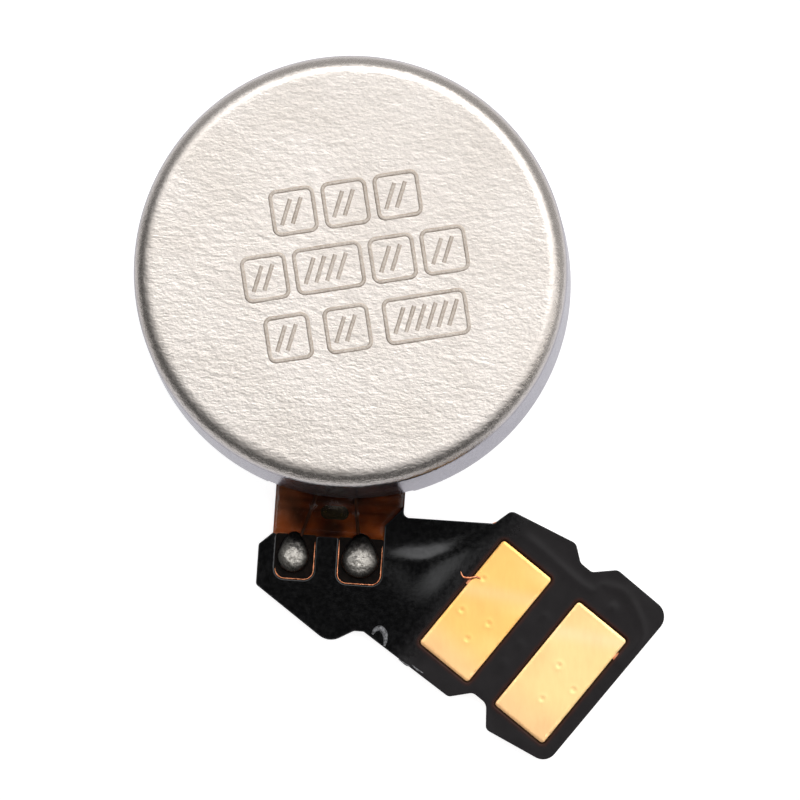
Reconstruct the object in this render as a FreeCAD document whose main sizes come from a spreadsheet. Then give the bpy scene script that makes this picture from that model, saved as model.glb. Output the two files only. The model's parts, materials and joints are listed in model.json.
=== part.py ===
import FreeCAD, Part
import math
import os
import re

import Sketcher

# Coin-type linear vibration motor with a flat flex tail, in millimetres.
#
# Origin: the centre of the mounting face, under the base plate.
# +Z goes up through the top of the case. The flex leaves the case on the -Y side.
# The tail's pieces are drawn in the tail's own frame, "u" along the tail and "v" across it,
# with its origin midway between the two contact pads.

PARTS_FOLDER = "parts"
UP = FreeCAD.Vector(0, 0, 1)
CENTRE = FreeCAD.Vector(0, 0, 0)

DIMENSIONS = {
    # sealed case
    "case_radius": 4.0,
    "case_height": 3.2,
    "case_wall": 0.2,
    "case_edge_radius": 0.35,
    "case_inner_edge_radius": 0.15,
    "notch_width": 2.7,
    "notch_height": 0.42,
    "notch_corner_radius": 0.12,
    # base plate, with the tongue under the flex and the ring that centres the case
    "plate_thickness": 0.2,
    "seam_groove": 0.08,
    "rim_roll_radius": 0.15,
    "tongue_width": 2.0,
    "tongue_reach": 4.62,
    "tongue_corner_radius": 0.25,
    "ring_outer_radius": 3.78,
    "ring_inner_radius": 3.45,
    "ring_height": 0.15,
    "weld_angle": 5,
    "weld_height": 0.12,
    # layers of the flex
    "film_thickness": 0.05,
    "copper_thickness": 0.02,
    "coverlay_thickness": 0.06,
    "pad_thickness": 0.03,
    # flex inside the case and along the neck
    "film_disc_radius": 2.3,
    "neck_half_width": 1.21,
    "slot_width": 0.53,
    "slot_height": 0.26,
    "slot_offset": -0.08,
    "slot_reach": 4.31,
    # solder joints
    "solder_pad_corner_radius": 0.17,
    "solder_pad_inset": 0.03,
    "solder_radius": 0.33,
    "solder_height": 0.24,
    # tail: its place and slant, the bending waist and the contact pads
    "tail_x": 3.598,
    "tail_y": -6.487,
    "tail_slant": -35.5,
    "bend_start": -2.38,
    "bend_end": -1.94,
    "waist_top": -4.318,
    "trace_width": 0.16,
    "contact_pitch": 1.81,
    "contact_width": 1.16,
    "contact_length": 2.48,
    "contact_corner_radius": 0.06,
    "contact_opening_margin": 0.04,
    "stiffener_thickness": 0.15,
    # fixed coil and its leads
    "coil_inner_radius": 1.45,
    "coil_outer_radius": 2.05,
    "coil_height": 1.15,
    "lead_radius": 0.03,
    "lead_rise": 0.04,
    # moving mass
    "mass_bottom": 0.75,
    "pole_bottom": 0.85,
    "pole_radius": 1.3,
    "pole_thickness": 0.25,
    "magnet_radius": 1.28,
    "magnet_height": 0.95,
    "yoke_radius": 2.42,
    "yoke_skirt_inner_radius": 2.2,
    "yoke_top_thickness": 0.25,
    "weight_inner_radius": 2.44,
    "weight_outer_radius": 3.5,
    "weight_chamfer": 0.12,
    # spring and its clamp
    "spring_thickness": 0.08,
    "spring_hub_inner_radius": 0.5,
    "spring_hub_outer_radius": 1.35,
    "spring_rim_inner_radius": 3.15,
    "spring_rim_outer_radius": 3.6,
    "spring_arm_width": 0.4,
    "spring_arm_turns": 0.55,
    "spring_arm_drop": 0.02,
    "clamp_radius": 1.1,
    "clamp_thickness": 0.08,
    # stops
    "damper_radius": 0.9,
    "bottom_damper_thickness": 0.17,
    "top_damper_thickness": 0.15,
    "resin_thickness": 0.17,
}

doc = FreeCAD.newDocument("coin_motor")
sheet = doc.addObject("Spreadsheet::Sheet", "dimensions")
for row, (alias, number) in enumerate(DIMENSIONS.items(), start=1):
    sheet.set(f"A{row}", alias)
    sheet.set(f"B{row}", str(number))
    sheet.setAlias(f"B{row}", alias)
doc.recompute()

# Heights above the mounting face, as sums of the sheet's cells.
FILM_BOTTOM = "plate_thickness"
FILM_TOP = "plate_thickness + film_thickness"
COPPER_TOP = f"{FILM_TOP} + copper_thickness"
MAGNET_BOTTOM = "pole_bottom + pole_thickness"
YOKE_TOP_BOTTOM = f"{MAGNET_BOTTOM} + magnet_height"
MASS_TOP = f"{YOKE_TOP_BOTTOM} + yoke_top_thickness"
CAP_INSIDE = "case_height - case_wall"


def formula(text):
    """A sum of the sheet's words, such as "case_height - case_wall", as a FreeCAD expression."""
    return re.sub(r"[a-z][a-z_]+", r"dimensions.\g<0>", text)


def size(text):
    """The value of such a sum, in millimetres."""
    return float(sheet.evalExpression(formula(text)))


def bind(item, name, text):
    item.setExpression(name, formula(text))


# ---------------------------------------------------------------- sketches and features


def new_body(name):
    body = doc.addObject("PartDesign::Body", name)
    body.Label = name
    return body


def origin_item(body, role):
    return next(item for item in body.Origin.OriginFeatures if item.Role == role)


def new_sketch(body, name, level=None, plane="XY_Plane"):
    """A sketch on one of the body's own planes, raised to a level along the plane's normal."""
    sketch = body.newObject("Sketcher::SketchObject", f"{body.Name}_{name}")
    sketch.AttachmentSupport = [(origin_item(body, plane), "")]
    sketch.MapMode = "FlatFace"
    if level:
        bind(sketch, "AttachmentOffset.Base.z", level)
    return sketch


def add_circle(sketch, radius):
    """A circle about the sketch's origin, with its radius bound to the sheet."""
    circle = sketch.addGeometry(Part.Circle(CENTRE, UP, size(radius)), False)
    sketch.addConstraint(Sketcher.Constraint("Coincident", circle, 3, -1, 1))
    number = sketch.addConstraint(Sketcher.Constraint("Radius", circle, size(radius)))
    name = f"radius_{circle}"
    sketch.renameConstraint(number, name)
    bind(sketch, f"Constraints.{name}", radius)


def add_outline(sketch, corners):
    """Lines and tangent arcs round a closed outline of (x, y) or (x, y, corner radius) corners."""
    points = [FreeCAD.Vector(corner[0], corner[1], 0) for corner in corners]
    radii = [corner[2] if len(corner) == 3 else 0 for corner in corners]
    starts, ends = [], []
    for i, point in enumerate(points):
        to_last = (points[i - 1] - point).normalize()
        to_next = (points[(i + 1) % len(points)] - point).normalize()
        half = to_last.getAngle(to_next) / 2
        reach = radii[i] / math.tan(half)
        starts.append(point + to_last * reach)
        ends.append(point + to_next * reach)
        if radii[i]:
            inward = (to_last + to_next).normalize()
            middle = point + inward * (radii[i] / math.sin(half) - radii[i])
            sketch.addGeometry(Part.Arc(starts[i], middle, ends[i]), False)
    for i in range(len(points)):
        sketch.addGeometry(Part.LineSegment(ends[i - 1], starts[i]), False)


def box_corners(x_low, x_high, y_low, y_high, radius=0.0):
    """The four corners of a rectangle, all with the same corner radius."""
    flat = [(x_low, y_low), (x_high, y_low), (x_high, y_high), (x_low, y_high)]
    return [(x, y, radius) for x, y in flat]


def ribbon(points, width):
    """The outline of a strip of one width that runs along the points, with mitred corners."""
    path = [FreeCAD.Vector(x, y, 0) for x, y in points]
    runs = [(b - a).normalize() for a, b in zip(path, path[1:])]
    sides = [UP.cross(run) for run in runs]
    left, right = [], []
    for i, point in enumerate(path):
        before, after = sides[max(i - 1, 0)], sides[min(i, len(sides) - 1)]
        mitre = before + after
        mitre = mitre * (width / mitre.dot(mitre))
        if before.dot(after) > 0.9999:
            mitre = before * (width / 2)
        left.append((point.x + mitre.x, point.y + mitre.y))
        right.append((point.x - mitre.x, point.y - mitre.y))
    return left + right[::-1]


def pad(body, sketch, thickness):
    feature = body.newObject("PartDesign::Pad", f"{sketch.Name}_pad")
    feature.Profile = sketch
    bind(feature, "Length", thickness)
    body.Tip = feature
    doc.recompute()
    return feature


def pocket_along(body, sketch, depth):
    """Cut from the sketch along its normal, and stop if nothing was removed."""
    before = body.Shape.Volume
    feature = body.newObject("PartDesign::Pocket", f"{sketch.Name}_pocket")
    feature.Profile = sketch
    feature.Reversed = True
    bind(feature, "Length", depth)
    body.Tip = feature
    doc.recompute()
    if not body.Shape.Volume < before:
        raise RuntimeError(f"{feature.Name} cuts nothing")
    return feature


def dress_circles(body, kind, amount, circle_radius, levels):
    """Round ("Fillet") or bevel ("Chamfer") the circular edges of one radius at some heights."""
    base = body.Tip
    heights = [size(level) for level in levels]
    names = []
    for number, edge in enumerate(base.Shape.Edges, start=1):
        round_edge = isinstance(edge.Curve, Part.Circle)
        if not round_edge or abs(edge.Curve.Radius - size(circle_radius)) > 1e-6:
            continue
        if any(abs(edge.Curve.Center.z - height) < 1e-6 for height in heights):
            names.append(f"Edge{number}")
    if not names:
        raise RuntimeError(f"{body.Name} has no edge for {amount}")
    dressed = body.newObject(f"PartDesign::{kind}", f"{body.Name}_{amount}")
    dressed.Base = (base, names)
    bind(dressed, "Radius" if kind == "Fillet" else "Size", amount)
    body.Tip = dressed
    doc.recompute()


def disc(name, outer, bottom, thickness, inner=None):
    """A disc or ring about the case's axis, from one height and of one thickness."""
    body = new_body(name)
    sketch = new_sketch(body, "profile", bottom)
    add_circle(sketch, outer)
    if inner:
        add_circle(sketch, inner)
    pad(body, sketch, thickness)
    return body


def plate(name, outlines, bottom, thickness):
    """A flat layer: the first outline is its edge, and the others are openings in it."""
    body = new_body(name)
    sketch = new_sketch(body, "outline", bottom)
    for corners in outlines:
        add_outline(sketch, corners)
    pad(body, sketch, thickness)
    return body


def place_on_tail(body):
    """Move a piece drawn in the tail's frame to its place beside the case."""
    body.Placement = FreeCAD.Placement(CENTRE, FreeCAD.Rotation(UP, size("tail_slant")))
    bind(body, "Placement.Base.x", "tail_x")
    bind(body, "Placement.Base.y", "tail_y")
    bind(body, "Placement.Rotation.Angle", "tail_slant")


# ---------------------------------------------------------------- case and base plate


def make_case_cap():
    body = new_body("case_cap")
    outside = new_sketch(body, "outside", "plate_thickness")
    add_circle(outside, "case_radius")
    pad(body, outside, "case_height - plate_thickness")
    dress_circles(body, "Fillet", "case_edge_radius", "case_radius", ["case_height"])
    dress_circles(body, "Chamfer", "seam_groove", "case_radius", ["plate_thickness"])
    inside = new_sketch(body, "inside", "plate_thickness")
    add_circle(inside, "case_radius - case_wall")
    pocket_along(body, inside, "case_height - case_wall - plate_thickness")
    inner_radius = "case_radius - case_wall"
    dress_circles(body, "Fillet", "case_inner_edge_radius", inner_radius, [CAP_INSIDE])
    notch = new_sketch(body, "notch", plane="XZ_Plane")
    half = size("notch_width") / 2
    floor = size("plate_thickness")
    roof = floor + size("notch_height")
    round_radius = size("notch_corner_radius")
    corners = [(-half, 0), (half, 0), (half, roof, round_radius), (-half, roof, round_radius)]
    add_outline(notch, corners)
    pocket_along(body, notch, "case_radius")
    return body


def revolve(body, profile, name):
    """Turn a profile in the XZ plane about the case's axis."""
    turned = body.newObject("PartDesign::Revolution", name)
    turned.Profile = profile
    turned.ReferenceAxis = (profile, ["V_Axis"])
    return turned


def make_base_bracket():
    """The plate's rim is stamped: it bulges between a rolled lower edge and the bevel of the seam."""
    body = new_body("base_bracket")
    plate_profile = new_sketch(body, "plate_profile", plane="XZ_Plane")
    thickness, rim, groove = size("plate_thickness"), size("case_radius"), size("seam_groove")
    bulge = thickness - groove
    rolled_corner = (rim - bulge, 0, size("rim_roll_radius"))
    outline = [(0, 0), rolled_corner, (rim, bulge), (rim - groove, thickness), (0, thickness)]
    add_outline(plate_profile, outline)
    revolve(body, plate_profile, "stamped_plate").Angle = 360
    doc.recompute()
    tongue = new_sketch(body, "tongue")
    half = size("tongue_width") / 2
    tip = -size("tongue_reach")
    round_radius = size("tongue_corner_radius")
    add_outline(tongue, [(-half, 0), (-half, tip, round_radius), (half, tip, round_radius), (half, 0)])
    pad(body, tongue, "plate_thickness")
    ring = new_sketch(body, "ring", "plate_thickness")
    add_circle(ring, "ring_outer_radius")
    add_circle(ring, "ring_inner_radius")
    pad(body, ring, "ring_height")
    channel = new_sketch(body, "channel", "plate_thickness")
    half = size("notch_width") / 2
    add_outline(channel, box_corners(-half, half, -size("case_radius"), 0))
    pocket_along(body, channel, "ring_height")
    return body


def make_weld_spots():
    """Four nuggets in the V-shaped groove of the seam between the case and the base plate.

    Each nugget's section is a kite: its root is the groove's root, and its nose is domed out to the rim.
    """
    body = new_body("weld_spots")
    profile = new_sketch(body, "profile", plane="XZ_Plane")
    seam, rim, groove = size("plate_thickness"), size("case_radius"), size("seam_groove")
    half_height = size("weld_height") / 2
    shoulder = rim - groove + half_height
    add_outline(
        profile,
        [(rim - groove, seam), (shoulder, seam - half_height), (rim, seam), (shoulder, seam + half_height)],
    )
    nugget = revolve(body, profile, "weld_nugget")
    bind(nugget, "Angle", "weld_angle")
    pattern = body.newObject("PartDesign::PolarPattern", "weld_pattern")
    pattern.Originals = [nugget]
    pattern.Axis = (origin_item(body, "Z_Axis"), [""])
    pattern.Angle = 360
    pattern.Occurrences = 4
    body.Tip = pattern
    body.Placement = FreeCAD.Placement(CENTRE, FreeCAD.Rotation(UP, 45))
    doc.recompute()
    return body


# ---------------------------------------------------------------- flex outlines


def tail_to_model(u, v):
    slant = math.radians(size("tail_slant"))
    x = size("tail_x") + u * math.cos(slant) - v * math.sin(slant)
    y = size("tail_y") + u * math.sin(slant) + v * math.cos(slant)
    return x, y


def waist_top_at(u):
    """Where the waist's upper edge, which is parallel to X, is met at one place along the tail."""
    slant = math.radians(size("tail_slant"))
    return (size("waist_top") - size("tail_y") - u * math.sin(slant)) / math.cos(slant)


NECK = size("neck_half_width")
BEND_START = size("bend_start")
BEND_END = size("bend_end")
WAIST_LOW = -1.75  # v of the waist's lower edge

# The land's left side, its lower lobe and the lower edge up to the bending waist.
LAND_LOWER_EDGE = [
    (-NECK, -4.76, 0.03),
    (-1.461, -4.99, 0.05),
    (-1.461, -5.75, 0.08),
    (-0.03, -6.755, 0.36),
    (0.43, -6.497, 0.12),
    (0.61, -6.50, 0.05),
    tail_to_model(BEND_START, WAIST_LOW),
    tail_to_model(BEND_START, waist_top_at(BEND_START)),
]
NECK_FOOT = (NECK, size("waist_top"), 0.11)

# The tail's outline from the waist's lower corner round both pads and back.
TAIL_OUTLINE = [
    (BEND_END, WAIST_LOW),
    (-0.43, -1.68, 0.12),
    (-0.12, -1.33, 0.15),
    (0.20, -1.33, 0.20),
    (0.50, -1.71, 0.12),
    (1.78, -1.48, 0.28),
    (1.81, 2.14, 0.30),
    (0.52, 2.16, 0.15),
    (0.17, 1.82, 0.12),
    (-0.10, 1.82, 0.15),
    (-0.40, 2.05, 0.15),
    (-1.72, 1.76, 0.14),
    (-1.82, 1.365, 0.05),
    (BEND_END, waist_top_at(BEND_END)),
]

# Solder pad openings in the coverlay: left, right and lower edges. Their tops are open to the neck.
SOLDER_OPENINGS = {1: (-1.147, -0.386, -5.62), 2: (0.021, 0.876, -5.64)}
SOLDER_PAD_TOP = -4.78
SOLDER_CENTRES = {1: (-0.80, -5.16), 2: (0.45, -5.16)}

# Copper runs. On the land they end at the waist, and on the tail they start there.
LAND_RUNS = {
    1: [(-0.767, -5.50), (-0.767, -5.85), (0.78, -5.85), tail_to_model(BEND_START, -1.0)],
    2: [(0.70, -5.05), (1.20, -5.05), (1.55, -4.70), tail_to_model(BEND_START, 0.30)],
}
PAD_LEFT = -size("contact_pitch") / 2 - size("contact_width") / 2
PAD_RIGHT = size("contact_pitch") / 2 + size("contact_width") / 2
TAIL_RUNS = {
    1: [(BEND_END, -1.0), (-1.72, -0.8), (-1.72, 0.24), (PAD_LEFT, 0.24)],
    2: [
        (BEND_END, 0.30),
        (-1.74, 0.50),
        (-1.64, 1.48),
        (0.25, 1.52),
        (0.50, 1.76),
        (0.82, 1.90),
        (1.16, 1.83),
        (1.65, 1.50),
        (1.65, 0.90),
        (PAD_RIGHT, 0.90),
    ],
}


def make_film_land():
    outline = [(-NECK, 0)] + LAND_LOWER_EDGE + [NECK_FOOT, (NECK, 0)]
    body = plate("film_land", [outline], FILM_BOTTOM, "film_thickness")
    inner = new_sketch(body, "disc", FILM_BOTTOM)
    add_circle(inner, "film_disc_radius")
    pad(body, inner, "film_thickness")
    slot = new_sketch(body, "slot", FILM_BOTTOM)
    half_width, half_height = size("slot_width") / 2, size("slot_height") / 2
    x, y = size("slot_offset"), -size("slot_reach")
    sides = (x - half_width, x + half_width, y - half_height, y + half_height)
    add_outline(slot, box_corners(*sides, radius=half_height * 0.99))
    pocket_along(body, slot, "film_thickness")
    return body


def make_coverlay_land():
    """Black coverlay with a U-shaped bay for each solder pad and a slanted edge along the neck."""
    bays = []
    bay_radius = size("solder_pad_corner_radius") + size("solder_pad_inset")
    for left, right, low in SOLDER_OPENINGS.values():
        bays += [(right, low, bay_radius), (left, low, bay_radius)]
    first_right, first_left, second_right, second_left = bays
    edge = LAND_LOWER_EDGE + [
        NECK_FOOT,
        (NECK, -4.13),
        (second_right[0], -4.50),
        second_right,
        second_left,
        (second_left[0], SOLDER_PAD_TOP),
        (first_right[0], SOLDER_PAD_TOP),
        first_right,
        first_left,
        (first_left[0], SOLDER_PAD_TOP),
    ]
    body = plate("coverlay_land", [edge], FILM_TOP, "coverlay_thickness")
    cut_runs(body, LAND_RUNS)
    return body


def cut_runs(body, runs):
    """Clear the space that the copper runs take from the underside of a coverlay."""
    channels = new_sketch(body, "channels", FILM_TOP)
    for points in runs.values():
        add_outline(channels, ribbon(points, size("trace_width")))
    pocket_along(body, channels, "copper_thickness")


def make_trace_land(number):
    """The copper of one net on the land: its run and its solder pad."""
    run = ribbon(LAND_RUNS[number], size("trace_width"))
    body = plate(f"trace_{number}_land", [run], FILM_TOP, "copper_thickness")
    left, right, low = SOLDER_OPENINGS[number]
    inset = size("solder_pad_inset")
    corner = size("solder_pad_corner_radius")
    sides = (left + inset, right - inset, low + inset, SOLDER_PAD_TOP)
    solder_pad = new_sketch(body, "solder_pad", FILM_TOP)
    add_outline(solder_pad, box_corners(*sides, radius=corner))
    pad(body, solder_pad, "copper_thickness")
    return body


def make_film_tail():
    body = plate("film_tail", [TAIL_OUTLINE], FILM_BOTTOM, "film_thickness")
    place_on_tail(body)
    return body


def contact_corners(number, margin=0.0):
    side = -1 if number == 1 else 1
    middle = side * size("contact_pitch") / 2
    half_width = size("contact_width") / 2 + margin
    half_length = size("contact_length") / 2 + margin
    sides = (middle - half_width, middle + half_width, -half_length, half_length)
    return box_corners(*sides, radius=size("contact_corner_radius") + margin)


def make_coverlay_tail():
    margin = size("contact_opening_margin")
    openings = [contact_corners(number, margin) for number in (1, 2)]
    body = plate("coverlay_tail", [TAIL_OUTLINE, *openings], FILM_TOP, "coverlay_thickness")
    cut_runs(body, TAIL_RUNS)
    place_on_tail(body)
    return body


def make_trace_tail(number):
    run = ribbon(TAIL_RUNS[number], size("trace_width"))
    body = plate(f"trace_{number}_tail", [run], FILM_TOP, "copper_thickness")
    place_on_tail(body)
    return body


def make_contact_pad(number):
    outline = contact_corners(number)
    body = plate(f"contact_pad_{number}", [outline], FILM_TOP, "pad_thickness")
    place_on_tail(body)
    return body


def make_pad_stiffener():
    """Stiffener glued under the contact pads, inside the tail's outline."""
    bottom = "plate_thickness - stiffener_thickness"
    outline = box_corners(-1.65, 1.74, -1.28, 1.77, radius=0.15)
    body = plate("pad_stiffener", [outline], bottom, "stiffener_thickness")
    place_on_tail(body)
    return body


def make_flex_bend():
    """The strip of the flex that bends, with all its layers."""
    outline = [
        (BEND_START, WAIST_LOW),
        (BEND_END, WAIST_LOW),
        (BEND_END, waist_top_at(BEND_END)),
        (BEND_START, waist_top_at(BEND_START)),
    ]
    body = plate("flex_bend", [outline], FILM_BOTTOM, "film_thickness + coverlay_thickness")
    place_on_tail(body)
    return body


# ---------------------------------------------------------------- coil, leads, solder and resin

LEAD_LEVEL = f"{FILM_TOP} + lead_rise"
LEAD_BEND_RADIUS = 0.5
# Each lead runs straight out from the coil's side, and then slants to its solder joint.
LEAD_STARTS = {1: -0.45, 2: 0.30}
LEAD_TURN = -4.05


def make_coil_lead(number):
    body = new_body(f"coil_lead_{number}")
    start_x = LEAD_STARTS[number]
    start_y = -math.sqrt(size("coil_outer_radius") ** 2 - start_x**2)
    start = FreeCAD.Vector(start_x, start_y, 0)
    turn = FreeCAD.Vector(start_x, LEAD_TURN, 0)
    end = FreeCAD.Vector(*SOLDER_CENTRES[number], 0)
    back, onward = (start - turn).normalize(), (end - turn).normalize()
    half = back.getAngle(onward) / 2
    reach = LEAD_BEND_RADIUS / math.tan(half)
    inward = (back + onward).normalize()
    middle = turn + inward * (LEAD_BEND_RADIUS / math.sin(half) - LEAD_BEND_RADIUS)
    path = new_sketch(body, "path", LEAD_LEVEL)
    path.addGeometry(Part.LineSegment(start, turn + back * reach), False)
    path.addGeometry(Part.Arc(turn + back * reach, middle, turn + onward * reach), False)
    path.addGeometry(Part.LineSegment(turn + onward * reach, end), False)
    section = new_sketch(body, "section", plane="XZ_Plane")
    section.AttachmentOffset = FreeCAD.Placement(
        FreeCAD.Vector(start_x, size(LEAD_LEVEL), -start_y), FreeCAD.Rotation()
    )
    add_circle(section, "lead_radius")
    doc.recompute()
    wire = body.newObject("PartDesign::AdditivePipe", f"coil_lead_{number}_wire")
    wire.Profile = section
    wire.Spine = path
    body.Tip = wire
    doc.recompute()
    return body


def cut_leads(name, blank, leads):
    """A piece that closes round the coil leads: the blank less the wires."""
    wires = doc.addObject("Part::Compound", f"{name}_wires")
    wires.Links = leads
    piece = doc.addObject("Part::Cut", name)
    piece.Label = name
    piece.Base = blank
    piece.Tool = wires
    doc.recompute()
    return piece


def make_solder_joint(number, lead):
    """A dome of solder on its pad, round the end of the coil lead."""
    blank = new_body(f"solder_dome_{number}")
    profile = new_sketch(blank, "profile", plane="XZ_Plane")
    foot, top = size("solder_radius"), size("solder_height")
    ball = (foot**2 + top**2) / (2 * top)
    half_rise = math.asin(foot / ball) / 2
    middle = FreeCAD.Vector(ball * math.sin(half_rise), top - ball + ball * math.cos(half_rise), 0)
    peak, rim = FreeCAD.Vector(0, top, 0), FreeCAD.Vector(foot, 0, 0)
    profile.addGeometry(Part.LineSegment(CENTRE, rim), False)
    profile.addGeometry(Part.Arc(rim, middle, peak), False)
    profile.addGeometry(Part.LineSegment(peak, CENTRE), False)
    dome = blank.newObject("PartDesign::Revolution", f"solder_dome_{number}_turned")
    dome.Profile = profile
    dome.ReferenceAxis = (profile, ["V_Axis"])
    dome.Angle = 360
    blank.Tip = dome
    x, y = SOLDER_CENTRES[number]
    blank.Placement.Base = FreeCAD.Vector(x, y, size(COPPER_TOP))
    doc.recompute()
    return cut_leads(f"solder_joint_{number}", blank, [lead])


def make_resin_bead(leads):
    """Clear resin on the neck, from inside the notch to the solder joints."""
    half = NECK - 0.05
    outline = box_corners(-half, half, -4.72, -3.82, radius=0.1)
    blank = plate("resin_blank", [outline], FILM_TOP, "resin_thickness")
    return cut_leads("resin_bead", blank, leads)


# ---------------------------------------------------------------- moving mass and spring


def make_yoke():
    body = disc("yoke", "yoke_radius", YOKE_TOP_BOTTOM, "yoke_top_thickness")
    skirt = new_sketch(body, "skirt", "pole_bottom")
    add_circle(skirt, "yoke_radius")
    add_circle(skirt, "yoke_skirt_inner_radius")
    pad(body, skirt, "pole_thickness + magnet_height")
    return body


def make_weight_ring():
    """Tungsten-alloy ring, with its outer edges chamfered to clear the case."""
    body = disc(
        "weight_ring",
        "weight_outer_radius",
        "mass_bottom",
        f"{MASS_TOP} - mass_bottom",
        inner="weight_inner_radius",
    )
    levels = ["mass_bottom", MASS_TOP]
    dress_circles(body, "Chamfer", "weight_chamfer", "weight_outer_radius", levels)
    return body


def make_flexure_spring():
    """Flat hub on the yoke, three arms that spiral up and out, and a rim under the case's top."""
    body = disc(
        "flexure_spring",
        "spring_hub_outer_radius",
        MASS_TOP,
        "spring_thickness",
        inner="spring_hub_inner_radius",
    )
    rim_bottom = f"{CAP_INSIDE} - spring_thickness"
    arm_start = size("spring_hub_outer_radius") - 0.05
    arm_end = size("spring_rim_outer_radius") - 0.12
    width, thickness = size("spring_arm_width"), size("spring_thickness")
    hub_level = size(MASS_TOP)
    profile = new_sketch(body, "arm_section", plane="XZ_Plane")
    sides = (arm_start - width, arm_start, hub_level, hub_level + thickness)
    add_outline(profile, box_corners(*sides))
    arm = body.newObject("PartDesign::AdditiveHelix", "spring_arm")
    arm.Profile = profile
    arm.ReferenceAxis = (profile, ["V_Axis"])
    arm.Mode = "height-turns-growth"
    bind(arm, "Height", f"{rim_bottom} - ({MASS_TOP}) - spring_arm_drop")
    bind(arm, "Turns", "spring_arm_turns")
    arm.Growth = (arm_end - arm_start) / size("spring_arm_turns")
    arms = body.newObject("PartDesign::PolarPattern", "spring_arms")
    arms.Originals = [arm]
    arms.Axis = (origin_item(body, "Z_Axis"), [""])
    arms.Angle = 360
    arms.Occurrences = 3
    body.Tip = arms
    doc.recompute()
    rim = new_sketch(body, "rim", rim_bottom)
    add_circle(rim, "spring_rim_outer_radius")
    add_circle(rim, "spring_rim_inner_radius")
    pad(body, rim, "spring_thickness")
    return body


# ---------------------------------------------------------------- the whole motor


def make_motor():
    leads = {number: make_coil_lead(number) for number in (1, 2)}
    pieces = [
        make_case_cap(),
        make_base_bracket(),
        make_weld_spots(),
        make_film_land(),
        make_coverlay_land(),
        make_flex_bend(),
        make_film_tail(),
        make_coverlay_tail(),
        make_pad_stiffener(),
        make_resin_bead(list(leads.values())),
        make_yoke(),
        make_weight_ring(),
        make_flexure_spring(),
    ]
    for number, lead in leads.items():
        pieces.append(lead)
        pieces.append(make_solder_joint(number, lead))
        pieces.append(make_trace_land(number))
        pieces.append(make_trace_tail(number))
        pieces.append(make_contact_pad(number))
    coil_sizes = ("coil_outer_radius", FILM_TOP, "coil_height", "coil_inner_radius")
    pieces += [
        disc("coil", *coil_sizes),
        disc("magnet", "magnet_radius", MAGNET_BOTTOM, "magnet_height"),
        disc("pole_plate", "pole_radius", "pole_bottom", "pole_thickness"),
        disc("spring_clamp", "clamp_radius", f"{MASS_TOP} + spring_thickness", "clamp_thickness"),
        disc("bottom_damper", "damper_radius", FILM_TOP, "bottom_damper_thickness"),
        disc(
            "top_damper",
            "damper_radius",
            f"{CAP_INSIDE} - top_damper_thickness",
            "top_damper_thickness",
        ),
    ]
    return pieces


def check_document():
    for item in doc.Objects:
        if "Invalid" in item.State or "Error" in item.State:
            raise RuntimeError(f"{item.Name} failed: {item.State}")


def export_pieces(pieces):
    os.makedirs(PARTS_FOLDER, exist_ok=True)
    for piece in pieces:
        shape = piece.Shape
        if shape.isNull() or not shape.isValid() or not shape.Solids:
            raise RuntimeError(f"{piece.Label} has no valid shape")
        shape.exportStep(f"{PARTS_FOLDER}/{piece.Label}.step")
        box = shape.BoundBox
        print(
            f"{piece.Label:16s} solids {len(shape.Solids)} volume {shape.Volume:8.4f}"
            f" z {box.ZMin:6.3f} to {box.ZMax:6.3f}"
        )


motor = make_motor()
doc.recompute()
check_document()
export_pieces(motor)
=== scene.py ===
"""The looks of a coin-type vibration motor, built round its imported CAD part.

Places and sizes are in millimetres, in the row frame, until add_mesh writes them in metres.
"""

import json
import math

import bpy
import numpy as np
from mathutils import Matrix, Vector, noise
from mathutils.geometry import delaunay_2d_cdt


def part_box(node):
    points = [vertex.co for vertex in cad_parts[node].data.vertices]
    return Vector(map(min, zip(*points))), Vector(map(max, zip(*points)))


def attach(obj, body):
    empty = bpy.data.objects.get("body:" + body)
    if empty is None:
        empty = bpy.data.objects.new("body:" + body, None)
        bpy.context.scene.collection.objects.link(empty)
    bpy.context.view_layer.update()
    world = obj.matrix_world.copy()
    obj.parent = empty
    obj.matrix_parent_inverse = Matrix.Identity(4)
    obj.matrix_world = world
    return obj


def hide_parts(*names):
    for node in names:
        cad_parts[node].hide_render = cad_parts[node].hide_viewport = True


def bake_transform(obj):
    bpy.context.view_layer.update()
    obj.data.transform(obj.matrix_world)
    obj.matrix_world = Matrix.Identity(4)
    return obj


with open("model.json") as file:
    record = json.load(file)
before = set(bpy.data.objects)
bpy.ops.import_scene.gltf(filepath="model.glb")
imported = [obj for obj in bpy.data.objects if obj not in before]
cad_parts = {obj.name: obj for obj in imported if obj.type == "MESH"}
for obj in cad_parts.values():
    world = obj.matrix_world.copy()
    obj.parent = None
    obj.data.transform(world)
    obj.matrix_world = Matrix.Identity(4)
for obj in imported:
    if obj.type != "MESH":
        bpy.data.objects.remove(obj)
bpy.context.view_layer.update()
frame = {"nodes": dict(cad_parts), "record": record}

MM = 0.001


# ---- places taken from the frame


def box(node):
    """The lowest and highest corners of a CAD node, in millimetres."""
    low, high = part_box(node)
    return low / MM, high / MM


def mount(name):
    return next(m for m in frame["record"]["mounts"] if m["name"] == name)


CASE_RADIUS = mount("case_od")["dims"]["r_mm"]
PLATE_TOP = box("case_cap")[0].z
CASE_TOP = box("case_cap")[1].z
FILM_LOW, FILM_TOP = box("film_land")[0].z, box("film_land")[1].z
COPPER_TOP = box("trace_1_tail")[1].z
COVERLAY_TOP = box("coverlay_land")[1].z
PAD_TOP = box("contact_pad_1")[1].z
STIFFENER_LOW = box("pad_stiffener")[0].z
RESIN_TOP = box("resin_bead")[1].z
SOLDER_TOP = box("solder_joint_1")[1].z

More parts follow.
